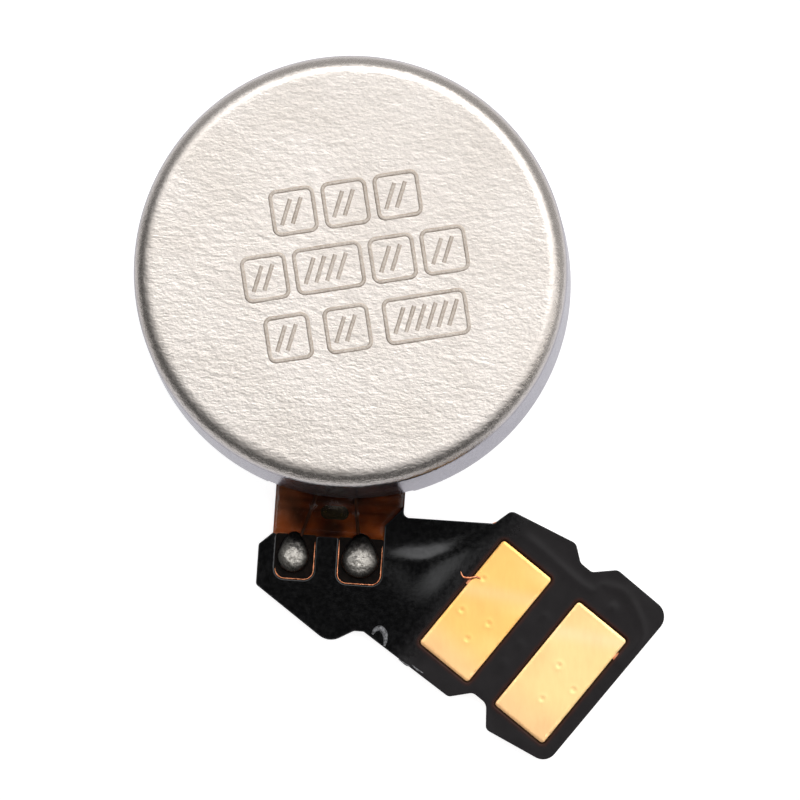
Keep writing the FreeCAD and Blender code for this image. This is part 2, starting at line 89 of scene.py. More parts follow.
PAD_CENTRES = [Vector(mount(f"contact_pad_{n}")["pos_m"]).xy / MM for n in (1, 2)]
TAIL_ORIGIN = (PAD_CENTRES[0] + PAD_CENTRES[1]) / 2
TAIL_ALONG = (PAD_CENTRES[1] - PAD_CENTRES[0]).normalized()
TAIL_ACROSS = Vector((-TAIL_ALONG.y, TAIL_ALONG.x))
PAD_PITCH = (PAD_CENTRES[1] - PAD_CENTRES[0]).length


def tail(u, v, *rest):
    """A point of the tail's own frame, u across both pads and v along them, in the row frame."""
    place = TAIL_ORIGIN + TAIL_ALONG * u + TAIL_ACROSS * v
    return (place.x, place.y, *rest)


def tail_coordinates(points):
    """The tail's own u and v of points in the row frame."""
    away = points - np.array(TAIL_ORIGIN)
    return away @ np.array(TAIL_ALONG), away @ np.array(TAIL_ACROSS)


# ---- outlines


def rounded(corners, arc_step=math.radians(7.5), spacing=0.06):
    """Points round a closed outline of (x, y) or (x, y, radius) corners, evenly close on its straights."""
    places = [Vector(c[:2]) for c in corners]
    radii = [c[2] if len(c) == 3 else 0.0 for c in corners]
    points = []
    for i, place in enumerate(places):
        to_last = (places[i - 1] - place).normalized()
        to_next = (places[(i + 1) % len(places)] - place).normalized()
        if not radii[i]:
            points.append(place)
            continue
        half = to_last.angle(to_next) / 2
        centre = place + (to_last + to_next).normalized() * (radii[i] / math.sin(half))
        reach = radii[i] / math.tan(half)
        first, last = place + to_last * reach - centre, place + to_next * reach - centre
        steps = max(2, math.ceil((math.pi - 2 * half) / arc_step))
        points += [centre + first.slerp(last, k / steps).normalized() * radii[i] for k in range(steps + 1)]
    closed = []
    for a, b in zip(points, points[1:] + points[:1]):
        pieces = max(1, math.ceil((b - a).length / spacing))
        closed += [a.lerp(b, k / pieces) for k in range(pieces)]
    return np.array(closed)


def rectangle(left, right, low, high, radius):
    return [(left, low, radius), (right, low, radius), (right, high, radius), (left, high, radius)]


def up_to(outline, corner):
    """The part of an outline from its first point to a corner."""
    return outline[: np.argmin(from_spot(outline, corner)) + 1]


def inside(points, loop):
    """Which points lie inside a closed loop."""
    x, y = points[:, 0], points[:, 1]
    found = np.zeros(len(points), bool)
    for (x0, y0), (x1, y1) in zip(loop, np.roll(loop, -1, axis=0)):
        if y0 != y1:
            found ^= ((y0 > y) != (y1 > y)) & (x < (x1 - x0) * (y - y0) / (y1 - y0) + x0)
    return found


def between(points, loops):
    """Which points lie inside the first loop and outside the others."""
    return inside(points, loops[0]) & ~np.any([inside(points, loop) for loop in loops[1:]], axis=0)


def from_spot(points, spot):
    """Each point's distance to one spot."""
    return np.linalg.norm(points - np.array(spot), axis=1)


def distance_to(points, path, closed=True):
    """Each point's distance to a path of straight runs, a closed loop unless said otherwise."""
    starts, ends = (path, np.roll(path, -1, axis=0)) if closed else (path[:-1], path[1:])
    nearest = np.full(len(points), np.inf)
    for a, b in zip(starts, ends):
        run = b - a
        t = np.clip(((points - a) @ run) / max(run @ run, 1e-12), 0, 1)
        nearest = np.minimum(nearest, np.linalg.norm(points - a - t[:, None] * run, axis=1))
    return nearest


def distance_to_any(points, loops):
    return np.min([distance_to(points, loop) for loop in loops], axis=0)


def anticlockwise(loop):
    return np.sum(loop[:, 0] * np.roll(loop[:, 1], -1) - np.roll(loop[:, 0], -1) * loop[:, 1]) > 0


def left_of(run):
    """Unit vectors a quarter turn to the left of each run."""
    return np.stack([-run[:, 1], run[:, 0]], 1) / np.linalg.norm(run, axis=1)[:, None]


def smooth_path(points, count=40):
    """A Catmull-Rom curve through a few points."""
    points = np.asarray(points, float)
    padded = np.vstack([2 * points[0] - points[1], points, 2 * points[-1] - points[-2]])
    made = []
    for t in np.linspace(0, len(points) - 1, count):
        i = min(int(t), len(points) - 2)
        f = t - i
        a, b, c, d = padded[i : i + 4]
        squared, cubed = 2 * a - 5 * b + 4 * c - d, 3 * b - a - 3 * c + d
        made.append(0.5 * (2 * b + (c - a) * f + squared * f**2 + cubed * f**3))
    return np.array(made)


def bell(distance, width):
    return np.exp(-((distance / width) ** 2))


def ease(value, low, high):
    """0 below low, 1 above high, and smooth between them."""
    t = np.clip((value - low) / (high - low), 0, 1)
    return t * t * (3 - 2 * t)


def perlin(points, scale, seed=0.0):
    """Noise from about -1 to 1 at points in the plane, with features about one scale wide."""
    sx, sy = scale if isinstance(scale, tuple) else (scale, scale)
    return np.array([noise.noise(Vector((x / sx, y / sy, seed))) for x, y in points])


# ---- meshes


def add_mesh(name, points, faces, material, sharp_angle=35):
    mesh = bpy.data.meshes.new(name)
    mesh.from_pydata([tuple(float(c) * MM for c in p) for p in points], [], faces)
    mesh.validate()
    mesh.materials.append(material)
    mesh.shade_smooth()
    mesh.set_sharp_from_angle(angle=math.radians(sharp_angle))
    piece = bpy.data.objects.new(name, mesh)
    bpy.context.scene.collection.objects.link(piece)
    return piece


def tween(a, b, share):
    """Colours between a and b, by a share for each point."""
    return a + (b - a) * share[:, None]


def paint(piece, colour_of):
    """Store a tint at each vertex, from a function of places in millimetres."""
    places = np.array([v.co for v in piece.data.vertices]) / MM
    colours = np.ones((len(places), 4))
    colours[:, :3] = np.clip(colour_of(places), 0, 1)
    layer = piece.data.attributes.new("tint", "FLOAT_COLOR", "POINT")
    layer.data.foreach_set("color", colours.astype(np.float32).ravel())
    return piece


def plan(loops, spacing, insets):
    """Triangles over the region inside the first loop and outside the others.

    Rings of points follow each loop at the insets, and a grid of the given spacing fills the rest. Gives the
    points, the triangles, and the indices of each loop's points.
    """
    edges, rings, extra, start = [], [], [], 0
    for loop in loops:
        ring = list(range(start, start + len(loop)))
        edges += zip(ring, ring[1:] + ring[:1])
        rings.append(ring)
        start += len(loop)
        normal = left_of(np.roll(loop, -1, axis=0) - np.roll(loop, 1, axis=0))
        inward = normal if anticlockwise(loop) == (loop is loops[0]) else -normal
        extra += [loop + inward * depth for depth in insets]
    border = np.vstack(loops)
    low, high = border.min(0), border.max(0)
    for k, y in enumerate(np.arange(low[1], high[1], spacing * math.sqrt(3) / 2)):
        xs = np.arange(low[0] + (k % 2) * spacing / 2, high[0], spacing)
        extra.append(np.stack([xs, np.full(len(xs), y)], 1))
    extra = np.vstack(extra)
    extra = extra[between(extra, loops)]
    edge = distance_to_any(extra, loops)
    clear = edge > 0.8 * (min(insets) if insets else spacing / 2)
    extra, edge = extra[clear], edge[clear]
    if insets:
        on_ring = np.min([np.abs(edge - depth) for depth in insets], axis=0) < 1e-4
        extra = extra[on_ring | (edge > max(insets) + spacing / 3)]
    made = delaunay_2d_cdt([Vector(p) for p in np.vstack([border, extra])], edges, [], 0, 1e-7)
    corners = np.array([list(p) for p in made[0]])
    triangles = np.array([f for f in made[2] if len(f) == 3])
    triangles = triangles[between(corners[triangles].mean(axis=1), loops)]
    made_from = {origin: index for index, origins in enumerate(made[3]) for origin in origins}
    return corners, triangles, [[made_from[i] for i in ring] for ring in rings]


def sheet(name, loops, low, high, material, spacing, insets=(), sharp_angle=35):
    """A closed sheet between two surfaces. low and high give heights from places in the plane."""
    corners, triangles, rings = plan(loops, spacing, insets)
    count = len(corners)
    surfaces = [level(corners) if callable(level) else np.full(count, level) for level in (high, low)]
    points = np.vstack([np.c_[corners, heights] for heights in surfaces])
    faces = []
    for a, b, c in triangles:
        across = np.cross(corners[b] - corners[a], corners[c] - corners[a])
        up = (a, b, c) if across > 0 else (a, c, b)
        faces.append(tuple(int(i) for i in up))
        faces.append(tuple(int(i) + count for i in reversed(up)))
    for ring, loop in zip(rings, loops):
        outward = anticlockwise(loop) == (loop is loops[0])
        for a, b in zip(ring, ring[1:] + ring[:1]):
            faces.append((a + count, b + count, b, a) if outward else (b + count, a + count, a, b))
    return add_mesh(name, points, faces, material, sharp_angle)


def bar(count, size, start=0, closed=False):
    """The faces of a bar of count rings of size points each, with an end on both sides unless it is closed."""
    faces = []
    for i in range(count if closed else count - 1):
        here, there = start + i * size, start + (i + 1) % count * size
        for k in range(size):
            m = (k + 1) % size
            faces.append((here + k, here + m, there + m, there + k))
    if not closed:
        end = start + count * size
        faces += [tuple(range(start, start + size))[::-1], tuple(range(end - size, end))]
    return faces


def tube(name, path, radius, material, sides=10, flatten=1.0):
    """A round bead along a path of (x, y, z) points. radius is a function of the share of the way along."""
    points = []
    for i, centre in enumerate(path):
        run = path[min(i + 1, len(path) - 1)] - path[max(i - 1, 0)]
        run /= np.linalg.norm(run)
        side = np.cross(run, (0, 0, 1))
        side /= np.linalg.norm(side)
        rise = np.cross(side, run)
        r = radius(i / (len(path) - 1))
        for turn in (2 * math.pi * k / sides for k in range(sides)):
            points.append(centre + side * r * math.cos(turn) + rise * r * flatten * math.sin(turn))
    return add_mesh(name, points, bar(len(path), sides), material, 60)


# ---- materials


class Nodes:
    """A node tree that is wired up step by step. A source is a socket, and a value may be one too."""

    def __init__(self, tree):
        self.tree = tree

    def node(self, kind, **settings):
        made = self.tree.nodes.new(kind)
        for key, value in settings.items():
            setattr(made, key, value)
        return made

    def link(self, source, target):
        self.tree.links.new(source, target)

    def feed(self, node, values):
        """Set a node's numbered inputs to numbers or colours, or link them to sockets."""
        for number, value in values.items():
            target = node.inputs[number]
            if isinstance(value, (int, float)):
                target.default_value = value
            elif isinstance(value, tuple):
                target.default_value = (*value, 1)
            else:
                self.link(value, target)

    def ramp(self, source, *stops):
        """Colours or greys at places from 0 to 1 along the source."""
        made = self.node("ShaderNodeValToRGB")
        elements = made.color_ramp.elements
        while len(elements) < len(stops):
            elements.new(0.5)
        for element, (at, colour) in zip(elements, stops):
            element.position = at
            element.color = (*colour, 1) if len(colour) == 3 else (colour[0],) * 3 + (1,)
        self.link(source, made.inputs["Fac"])
        return made.outputs["Color"]

    def range(self, source, low, high, to_low, to_high):
        made = self.node("ShaderNodeMapRange")
        for socket, value in zip(("From Min", "From Max", "To Min", "To Max"), (low, high, to_low, to_high)):
            made.inputs[socket].default_value = value
        self.link(source, made.inputs["Value"])
        return made.outputs["Result"]

    def mix(self, factor, a, b, how="MIX"):
        made = self.node("ShaderNodeMix", data_type="RGBA", blend_type=how)
        self.feed(made, {0: factor, 6: a, 7: b})
        return made.outputs[2]

    def add(self, a, b, how="ADD"):
        made = self.node("ShaderNodeMath", operation=how)
        self.feed(made, {0: a, 1: b})
        return made.outputs[0]

    def vector(self, operation, source, other):
        """The dot product with another vector, or the distance to it."""
        made = self.node("ShaderNodeVectorMath", operation=operation)
        made.inputs[1].default_value = other
        self.link(source, made.inputs[0])
        return made.outputs["Value"]


class Look(Nodes):
    """A Principled material with procedural detail."""

    def __init__(self, name, **sockets):
        self.material = bpy.data.materials.new(name)
        self.material.use_nodes = True
        super().__init__(self.material.node_tree)
        self.shader = self.tree.nodes["Principled BSDF"]
        for socket, value in sockets.items():
            self.shader.inputs[socket.replace("_", " ")].default_value = value
        self.place = self.node("ShaderNodeTexCoord").outputs["Object"]

    def noise(self, grain, detail=3.0, stretch=(1, 1, 1), turn=0.0, roughness=0.5):
        """Noise with features about one grain wide, in millimetres."""
        mapping = self.node("ShaderNodeMapping")
        mapping.inputs["Scale"].default_value = [1 / (grain * MM * s) for s in stretch]
        mapping.inputs["Rotation"].default_value[2] = turn
        self.link(self.place, mapping.inputs["Vector"])
        made = self.node("ShaderNodeTexNoise")
        for socket, value in (("Scale", 1.0), ("Detail", detail), ("Roughness", roughness)):
            made.inputs[socket].default_value = value
        self.link(mapping.outputs["Vector"], made.inputs["Vector"])
        return made.outputs["Fac"]

    def below_face(self, deep, shallow, *shares):
        """A value that changes between two depths below the case's face, in millimetres."""
        separate = self.node("ShaderNodeSeparateXYZ")
        self.link(self.place, separate.inputs[0])
        return self.range(separate.outputs["Z"], (CASE_TOP - deep) * MM, (CASE_TOP - shallow) * MM, *shares)

    def tint(self):
        return self.node("ShaderNodeAttribute", attribute_name="tint").outputs["Color"]

    def tinted(self, mottle, *darkest):
        """Colour the surface by the mesh's own tint, from the darkest shares to all of it along a mottle."""
        shares = self.ramp(mottle, (0.3, darkest), (0.7, (1.0, 1.0, 1.0)))
        self.colour(self.mix(1.0, self.tint(), shares, "MULTIPLY"))

    def colour(self, source):
        self.link(source, self.shader.inputs["Base Color"])

    def roughness(self, source):
        self.link(source, self.shader.inputs["Roughness"])

    def bump(self, source, depth):
        """Relief of a depth in millimetres."""
        made = self.node("ShaderNodeBump")
        made.inputs["Distance"].default_value = depth * MM
        made.inputs["Strength"].default_value = 1.0
        self.link(source, made.inputs["Height"])
        self.link(made.outputs["Normal"], self.shader.inputs["Normal"])


def grained(name, dark, light, rough, grain, depth=0.0, stretch=(1, 1, 1), **sockets):
    """A material with a mottled colour, uneven gloss and a fine relief of one grain size."""
    look = Look(name, **sockets)
    mottle = look.noise(grain, 4.0, stretch)
    look.colour(look.ramp(mottle, (0.3, dark), (0.7, light)))
    look.roughness(look.range(look.noise(grain * 3, 2.0), 0.3, 0.7, *rough))
    if depth:
        look.bump(mottle, depth)
    return look.material


# the face's grain fades along this direction, between these two distances from the axis; the face's colour also
# darkens against it, as painted shade
GRAIN_AND_SHADE_FADE = (0.30, 0.95, 0)
GRAIN_FADE_START, GRAIN_FADE_END = -2.5, 3.0


def case_look():
    """Blasted nickel-plated steel: fine wavy grain on the face and its edge, smoother on the drawn wall, and
    painted shade darkening the face towards one side.
    """
    look = Look("blasted_steel", Metallic=1.0)
    face = look.below_face(0.33, 0.10, 0, 1)
    grain = look.noise(0.038, 4.0, (1.7, 1, 1), turn=0.06, roughness=0.65)
    waves = look.noise(0.085, 2.0, (2.0, 1, 1), turn=-0.05)
    across = look.vector("DOT_PRODUCT", look.place, GRAIN_AND_SHADE_FADE)
    cream = look.ramp(look.noise(1.6, 2.0), (0.35, (0.625, 0.572, 0.522)), (0.65, (0.672, 0.619, 0.572)))
    # painted shade: the face's cream is up to a seventh darker towards its lower side
    painted_shade_share = look.range(across, -3.5 * MM, 3.0 * MM, 0, 1)
    cream = look.mix(1.0, cream, look.ramp(painted_shade_share, (0, (0.86,)), (1, (1.0,))), "MULTIPLY")
    drawn = look.ramp(look.noise(0.5, 3.0, (1, 1, 6)), (0.35, (0.31, 0.30, 0.335)), (0.65, (0.36, 0.35, 0.385)))
    look.colour(look.mix(face, drawn, cream))
    look.link(look.mix(face, (0.50, 0.485, 0.535), (1.0, 1.0, 1.0)), look.shader.inputs["Specular Tint"])
    speckle = look.add(look.range(grain, 0.3, 0.7, 0.28, 0.42), look.below_face(0.06, 0.012, -0.10, 0))
    look.roughness(look.add(speckle, look.range(face, 0, 1, -0.05, 0)))
    blasted = look.below_face(0.36, 0.22, 0.12, 1.15)
    uneven = look.range(across, GRAIN_FADE_START * MM, GRAIN_FADE_END * MM, 1.0, 0.42)
    relief = look.add(look.add(grain, waves), look.add(blasted, uneven, "MULTIPLY"), "MULTIPLY")
    look.bump(relief, 0.0085)
    return look.material


def mark_look():
    look = Look("etched_marks", Metallic=0.9)
    burn = look.noise(0.05, 3.0)
    look.tinted(burn, 0.72, 0.70, 0.68)
    look.roughness(look.range(burn, 0.3, 0.7, 0.36, 0.52))
    look.bump(burn, 0.005)
    return look.material


def coverlay_look():
    """Black coverlay film: very dark and glossy on the land, softer and browner round the contact pads."""
    look = Look("black_coverlay", Specular_IOR_Level=0.42)
    fleck = look.noise(0.07, 3.0)
    look.tinted(look.noise(0.35, 3.0), 0.75, 0.75, 0.75)
    separate = look.node("ShaderNodeSeparateColor")
    look.link(look.tint(), separate.inputs[0])
    redness = separate.outputs[0]
    matt = look.range(redness, 0.001, 0.011, 0.15, 0.36)
    look.roughness(look.add(matt, look.range(fleck, 0.3, 0.7, -0.03, 0.05)))
    look.link(look.range(redness, 0.002, 0.009, 0.40, 0.16), look.shader.inputs["Specular IOR Level"])
    look.bump(fleck, 0.0006)
    return look.material


def gold_look():
    look = Look("pad_gold", Metallic=1.0)
    brushed = look.noise(0.09, 4.0, (1, 3, 1), turn=math.radians(20))
    look.tinted(brushed, 0.96, 0.955, 0.95)
    look.roughness(look.range(look.noise(0.6, 3.0), 0.3, 0.7, 0.38, 0.46))
    look.bump(brushed, 0.0010)
    return look.material


def film_look():
    """Amber polyimide film."""
    look = Look("amber_film", Specular_IOR_Level=0.08)
    look.tinted(look.noise(0.25, 4.0), 0.6, 0.55, 0.5)
    look.roughness(look.range(look.noise(0.15), 0.3, 0.7, 0.16, 0.30))
    look.bump(look.noise(0.12), 0.001)
    return look.material


def resin_look():
    look = Look("clear_resin", Transmission_Weight=1.0, IOR=1.24)
    look.colour(look.ramp(look.noise(0.4), (0.3, (0.85, 0.66, 0.46)), (0.7, (1.0, 0.90, 0.76))))
    look.roughness(look.range(look.noise(0.2), 0.3, 0.7, 0.02, 0.06))
    look.bump(look.noise(0.14), 0.0006)
    return look.material


def solder_look():
    look = Look("solder", Metallic=1.0)
    cell = look.noise(0.035, 3.0, roughness=0.7)
    # a grainy mottle in the solder's colour, which also breaks the dome's painted highlight into specks
    grainy_mottle = look.ramp(cell, (0.30, (0.30, 0.28, 0.25)), (0.68, (0.80, 0.77, 0.72)))
    look.colour(look.mix(1.0, look.tint(), grainy_mottle, "MULTIPLY"))
    look.roughness(look.range(cell, 0.3, 0.7, 0.26, 0.48))
    look.bump(cell, 0.008)
    return look.material


LOOKS = {
    "case": case_look(),
    "marks": mark_look(),
    "coverlay": coverlay_look(),
    "gold": gold_look(),
    "film": film_look(),
    "resin": resin_look(),
    "solder": solder_look(),
    "plate_steel": grained(
        "plate_steel", (0.50, 0.49, 0.50), (0.66, 0.65, 0.65), (0.28, 0.42), 0.12, 0.002,
        (6, 1, 1), Metallic=1.0,
    ),
    "weld": grained(
        "weld_metal", (0.20, 0.17, 0.18), (0.52, 0.48, 0.50), (0.25, 0.45), 0.05, 0.004, Metallic=1.0
    ),
    "copper": grained(
        "bare_copper", (0.60, 0.16, 0.07), (0.95, 0.42, 0.22), (0.25, 0.42), 0.05, 0.002, Metallic=1.0
    ),
    # the copper in the solder bays, coloured almost black
    "bay_copper": grained(
        "dark_bay_copper", (0.002, 0.0016, 0.0013), (0.011, 0.007, 0.005), (0.30, 0.50), 0.10, 0.002,
        Specular_IOR_Level=0.04,
    ),
    "stiffener": grained(
        "stiffener_board", (0.22, 0.13, 0.05), (0.36, 0.22, 0.09), (0.40, 0.60), 0.10, 0.003, (1, 4, 1)
    ),
    "wire": grained(
        "enamelled_wire", (0.40, 0.14, 0.05), (0.66, 0.28, 0.11), (0.20, 0.32), 0.04, 0.001,
        (1, 8, 1), Metallic=0.8,
    ),
    "enamel": grained(
        "lead_enamel", (0.022, 0.008, 0.004), (0.060, 0.020, 0.008), (0.50, 0.65), 0.04, 0.001,
        (1, 6, 1), Specular_IOR_Level=0.1,
    ),
    "peeled": grained("peeled_coverlay", (0.02, 0.02, 0.02), (0.24, 0.24, 0.25), (0.24, 0.40), 0.04, 0.003),
    "slot_fill": grained("slot_resin", (0.004, 0.005, 0.002), (0.020, 0.020, 0.008), (0.10, 0.22), 0.08, 0.003),
    "yoke": grained(
        "yoke_steel", (0.40, 0.40, 0.42), (0.56, 0.56, 0.58), (0.30, 0.45), 0.15, 0.002, Metallic=1.0
    ),
    "magnet": grained(
        "nickel_plating", (0.62, 0.60, 0.56), (0.74, 0.72, 0.68), (0.16, 0.26), 0.20, 0.0008, Metallic=1.0
    ),
    "tungsten": grained(
        "sintered_tungsten", (0.26, 0.26, 0.27), (0.40, 0.40, 0.41), (0.42, 0.60), 0.05, 0.004, Metallic=1.0
    ),
    "spring": grained(
        "spring_steel", (0.52, 0.51, 0.49), (0.68, 0.67, 0.65), (0.20, 0.32), 0.10, 0.001,
        (8, 1, 1), Metallic=1.0,
    ),
    "rubber": grained("damper_rubber", (0.012, 0.012, 0.013), (0.035, 0.035, 0.037), (0.55, 0.75), 0.06, 0.004),
}


# ---- case

EDGE_RADIUS = 0.35
CASE_WALL = 0.2
SEAM_GROOVE = 0.08
WALL_FLARE = 0.05
NOTCH_HALF = 1.35
NOTCH_HEIGHT = 0.42
NOTCH_CORNER = 0.12
CASE_COLUMNS = 470
BLAST_DEPTH = 0.0036


def notch_arch():
    """Half of the notch's upper outline as (x, height above the plate), from the middle outwards."""
    side, high = NOTCH_HALF - NOTCH_CORNER, NOTCH_HEIGHT - NOTCH_CORNER
    turns = np.linspace(0, math.pi / 2, 7)[1:]
    corner = [(side + NOTCH_CORNER * math.sin(t), high + NOTCH_CORNER * math.cos(t)) for t in turns]
    return [(x, NOTCH_HEIGHT) for x in np.linspace(0, side, 24)] + corner


def build_case():
    """The drawn cap: columns of points round the axis, from the lower rim to the middle of the face."""
    arch = notch_arch()
    angles = [math.asin(x / CASE_RADIUS) for x, _ in arch]
    arch_tops = {a: h + PLATE_TOP for a, (_, h) in zip(angles, arch)}
    notch = [-a for a in angles[:0:-1]] + angles
    columns = notch + list(np.linspace(angles[-1], 2 * math.pi - angles[-1], CASE_COLUMNS)[1:-1])
    wall_top = CASE_TOP - EDGE_RADIUS
    notch_foot = PLATE_TOP + NOTCH_HEIGHT - NOTCH_CORNER
    foot, flat_radius = CASE_RADIUS + WALL_FLARE, CASE_RADIUS - EDGE_RADIUS
    inner_radius = CASE_RADIUS - CASE_WALL
    # each row is its kind, its radius, and a value: a height, a share of the wall, or an angle round the edge
    shares = np.linspace(0, 1, 22)
    rows = [("z", foot - SEAM_GROOVE, PLATE_TOP), ("z", foot, PLATE_TOP + SEAM_GROOVE)]
    rows += [("wall", foot - WALL_FLARE * share, share) for share in shares]
    rows += [("edge", flat_radius + EDGE_RADIUS * math.cos(t), t) for t in np.linspace(0, math.pi / 2, 17)[1:]]
    rows += [("face", r, math.pi / 2) for r in np.linspace(flat_radius, 0.06, 80)[1:]]
    inner = [("z", inner_radius, PLATE_TOP), ("z", inner_radius, PLATE_TOP + SEAM_GROOVE)]
    inner += [("wall", inner_radius, share) for share in shares]
    inner += [("z", r, CASE_TOP - CASE_WALL) for r in (inner_radius - 0.06, 3.0, 2.0, 1.0, 0.3)]

    def blasted(place, angle, t):
        """How far the blasting moves a point of the edge or the face."""
        x, y, z = place
        wave = noise.noise(Vector((x / 0.17, y / 0.10, z / 0.12)))
        wave += 0.6 * noise.noise(Vector((x / 0.09, y / 0.06, 5 + z / 0.06)))
        fade = GRAIN_AND_SHADE_FADE[0] * x + GRAIN_AND_SHADE_FADE[1] * y - GRAIN_FADE_START
        calm = 1 - 0.55 * min(1.0, max(0.0, fade / (GRAIN_FADE_END - GRAIN_FADE_START)))
        normal = np.array([math.cos(t) * math.sin(angle), -math.cos(t) * math.cos(angle), math.sin(t)])
        return normal * BLAST_DEPTH * calm * wave * min(1.0, t / 0.5)

    def surface(profile):
        made = []
        for column, angle in enumerate(columns):
            low = arch_tops[abs(angle)] if column < len(notch) else notch_foot
            for kind, r, value in profile:
                z = CASE_TOP if kind == "face" else value
                if kind == "wall":
                    z = low + (wall_top - low) * value
                elif kind == "edge":
                    z = wall_top + EDGE_RADIUS * math.sin(value)
                point = np.array([r * math.sin(angle), -r * math.cos(angle), z])
                made.append(point + blasted(point, angle, value) if kind in ("edge", "face") else point)
        return made

    points = surface(rows)
    count, inner_count, offset = len(rows), len(inner), len(points)
    points += surface(inner)
    faces = []
    for c in range(len(columns)):
        n = (c + 1) % len(columns)
        first = 2 if c < len(notch) - 1 else 0
        a, b, d, e = c * count, n * count, offset + c * inner_count, offset + n * inner_count
        faces += [(a + k, b + k, b + k + 1, a + k + 1) for k in range(first, count - 1)]
        faces += [(e + k, d + k, d + k + 1, e + k + 1) for k in range(first, inner_count - 1)]
        faces.append((b + first, a + first, d + first, e + first))
    for c in (0, len(notch) - 1):
        for k in (0, 1):
            a, d = c * count + k, offset + c * inner_count + k
            faces.append((a, a + 1, d + 1, d) if c == 0 else (a + 1, a, d, d + 1))
    face_middle = len(points)
    points += [np.array([0, 0, CASE_TOP]), np.array([0, 0, CASE_TOP - CASE_WALL])]
    for c in range(1, len(columns) + 1):
        n = c % len(columns) + 1
        faces.append((c * count - 1, n * count - 1, face_middle))
        faces.append((offset + n * inner_count - 1, offset + c * inner_count - 1, face_middle + 1))
    shell = add_mesh("case_shell", points, faces, LOOKS["case"], 50)
    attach(shell, "housing")
    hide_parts("case_cap")


MARK_TURN = math.radians(12.6)
MARK_ORIGIN = Vector((0.02, 0.22))
MARK_HEIGHT = 0.80
MARK_STROKE = 0.045
# each row of etched boxes: the height of its middle, its left end and its right end, and the boxes' widths
MARK_ROWS = (
    (1.02, -1.32, 1.40, (0.78, 0.78, 0.78)),
    (-0.12, -2.02, 2.10, (0.78, 1.22, 0.78, 0.78)),
    (-1.28, -1.76, 1.94, (0.78, 0.78, 1.50)),
)
# across a stroke: the share of its half width, its height above the face, and how dark it is
STROKE_SECTION = (
    (-1, -0.004, 0.35), (-0.72, 0.003, 1.0), (-0.25, 0.004, 0.25),
    (0.25, 0.004, 0.25), (0.72, 0.003, 1.0), (1, -0.004, 0.35),
)
MARK_PLAIN, MARK_BURNT = np.array([0.56, 0.50, 0.445]), np.array([0.29, 0.24, 0.19])


def build_marks():
    """Three rows of etched boxes with slanting strokes in them: a pattern that spells nothing."""
    turn = Matrix.Rotation(MARK_TURN, 2)
    points, faces, shades = [], [], []

    def stroke(path, closed):
        run = np.roll(path, -1, axis=0) - np.roll(path, 1, axis=0) if closed else np.gradient(path, axis=0)
        start = len(points)
        wear = 0.75 + 0.5 * perlin(path, 0.35, 95.0)
        for place, across, worn in zip(path, left_of(run), wear):
            for side, rise, dark in STROKE_SECTION:
                x, y = turn @ Vector(place + across * side * MARK_STROKE) + MARK_ORIGIN
                points.append((x, y, CASE_TOP + rise))
                shades.append(dark * worn)
        faces.extend(bar(len(path), len(STROKE_SECTION), start, closed))

    for middle, left, right, widths in MARK_ROWS:
        low, high = middle - MARK_HEIGHT / 2, middle + MARK_HEIGHT / 2
        gap = (right - left - sum(widths)) / (len(widths) - 1)
        x = left
        for width in widths:
            stroke(rounded(rectangle(x, x + width, low, high, 0.12), math.radians(15), 0.08), True)
            for foot in np.arange(x + 0.14, x + width - 0.34, 0.20):
                stroke(np.linspace((foot, low + 0.17), (foot + 0.22, high - 0.17), 9), False)
            x += width + gap
    marks = add_mesh("case_marks", points, faces, LOOKS["marks"], 60)
    tones = np.clip(np.array(shades), 0, 1)
    paint(marks, lambda places: tween(MARK_PLAIN, MARK_BURNT, tones))
    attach(marks, "housing")


# ---- base plate and welds

TONGUE_HALF, TONGUE_CORNER = 1.0, 0.25
TONGUE_TIP = -box("base_bracket")[0].y
RIM_ROLL = PLATE_TOP - SEAM_GROOVE
TONGUE_ROLL, TONGUE_BEVEL = 0.03, 0.015
RING_LOW, RING_HIGH, RING_BEVEL = 3.45, 3.78, 0.03
RING_TOP = box("base_bracket")[1].z


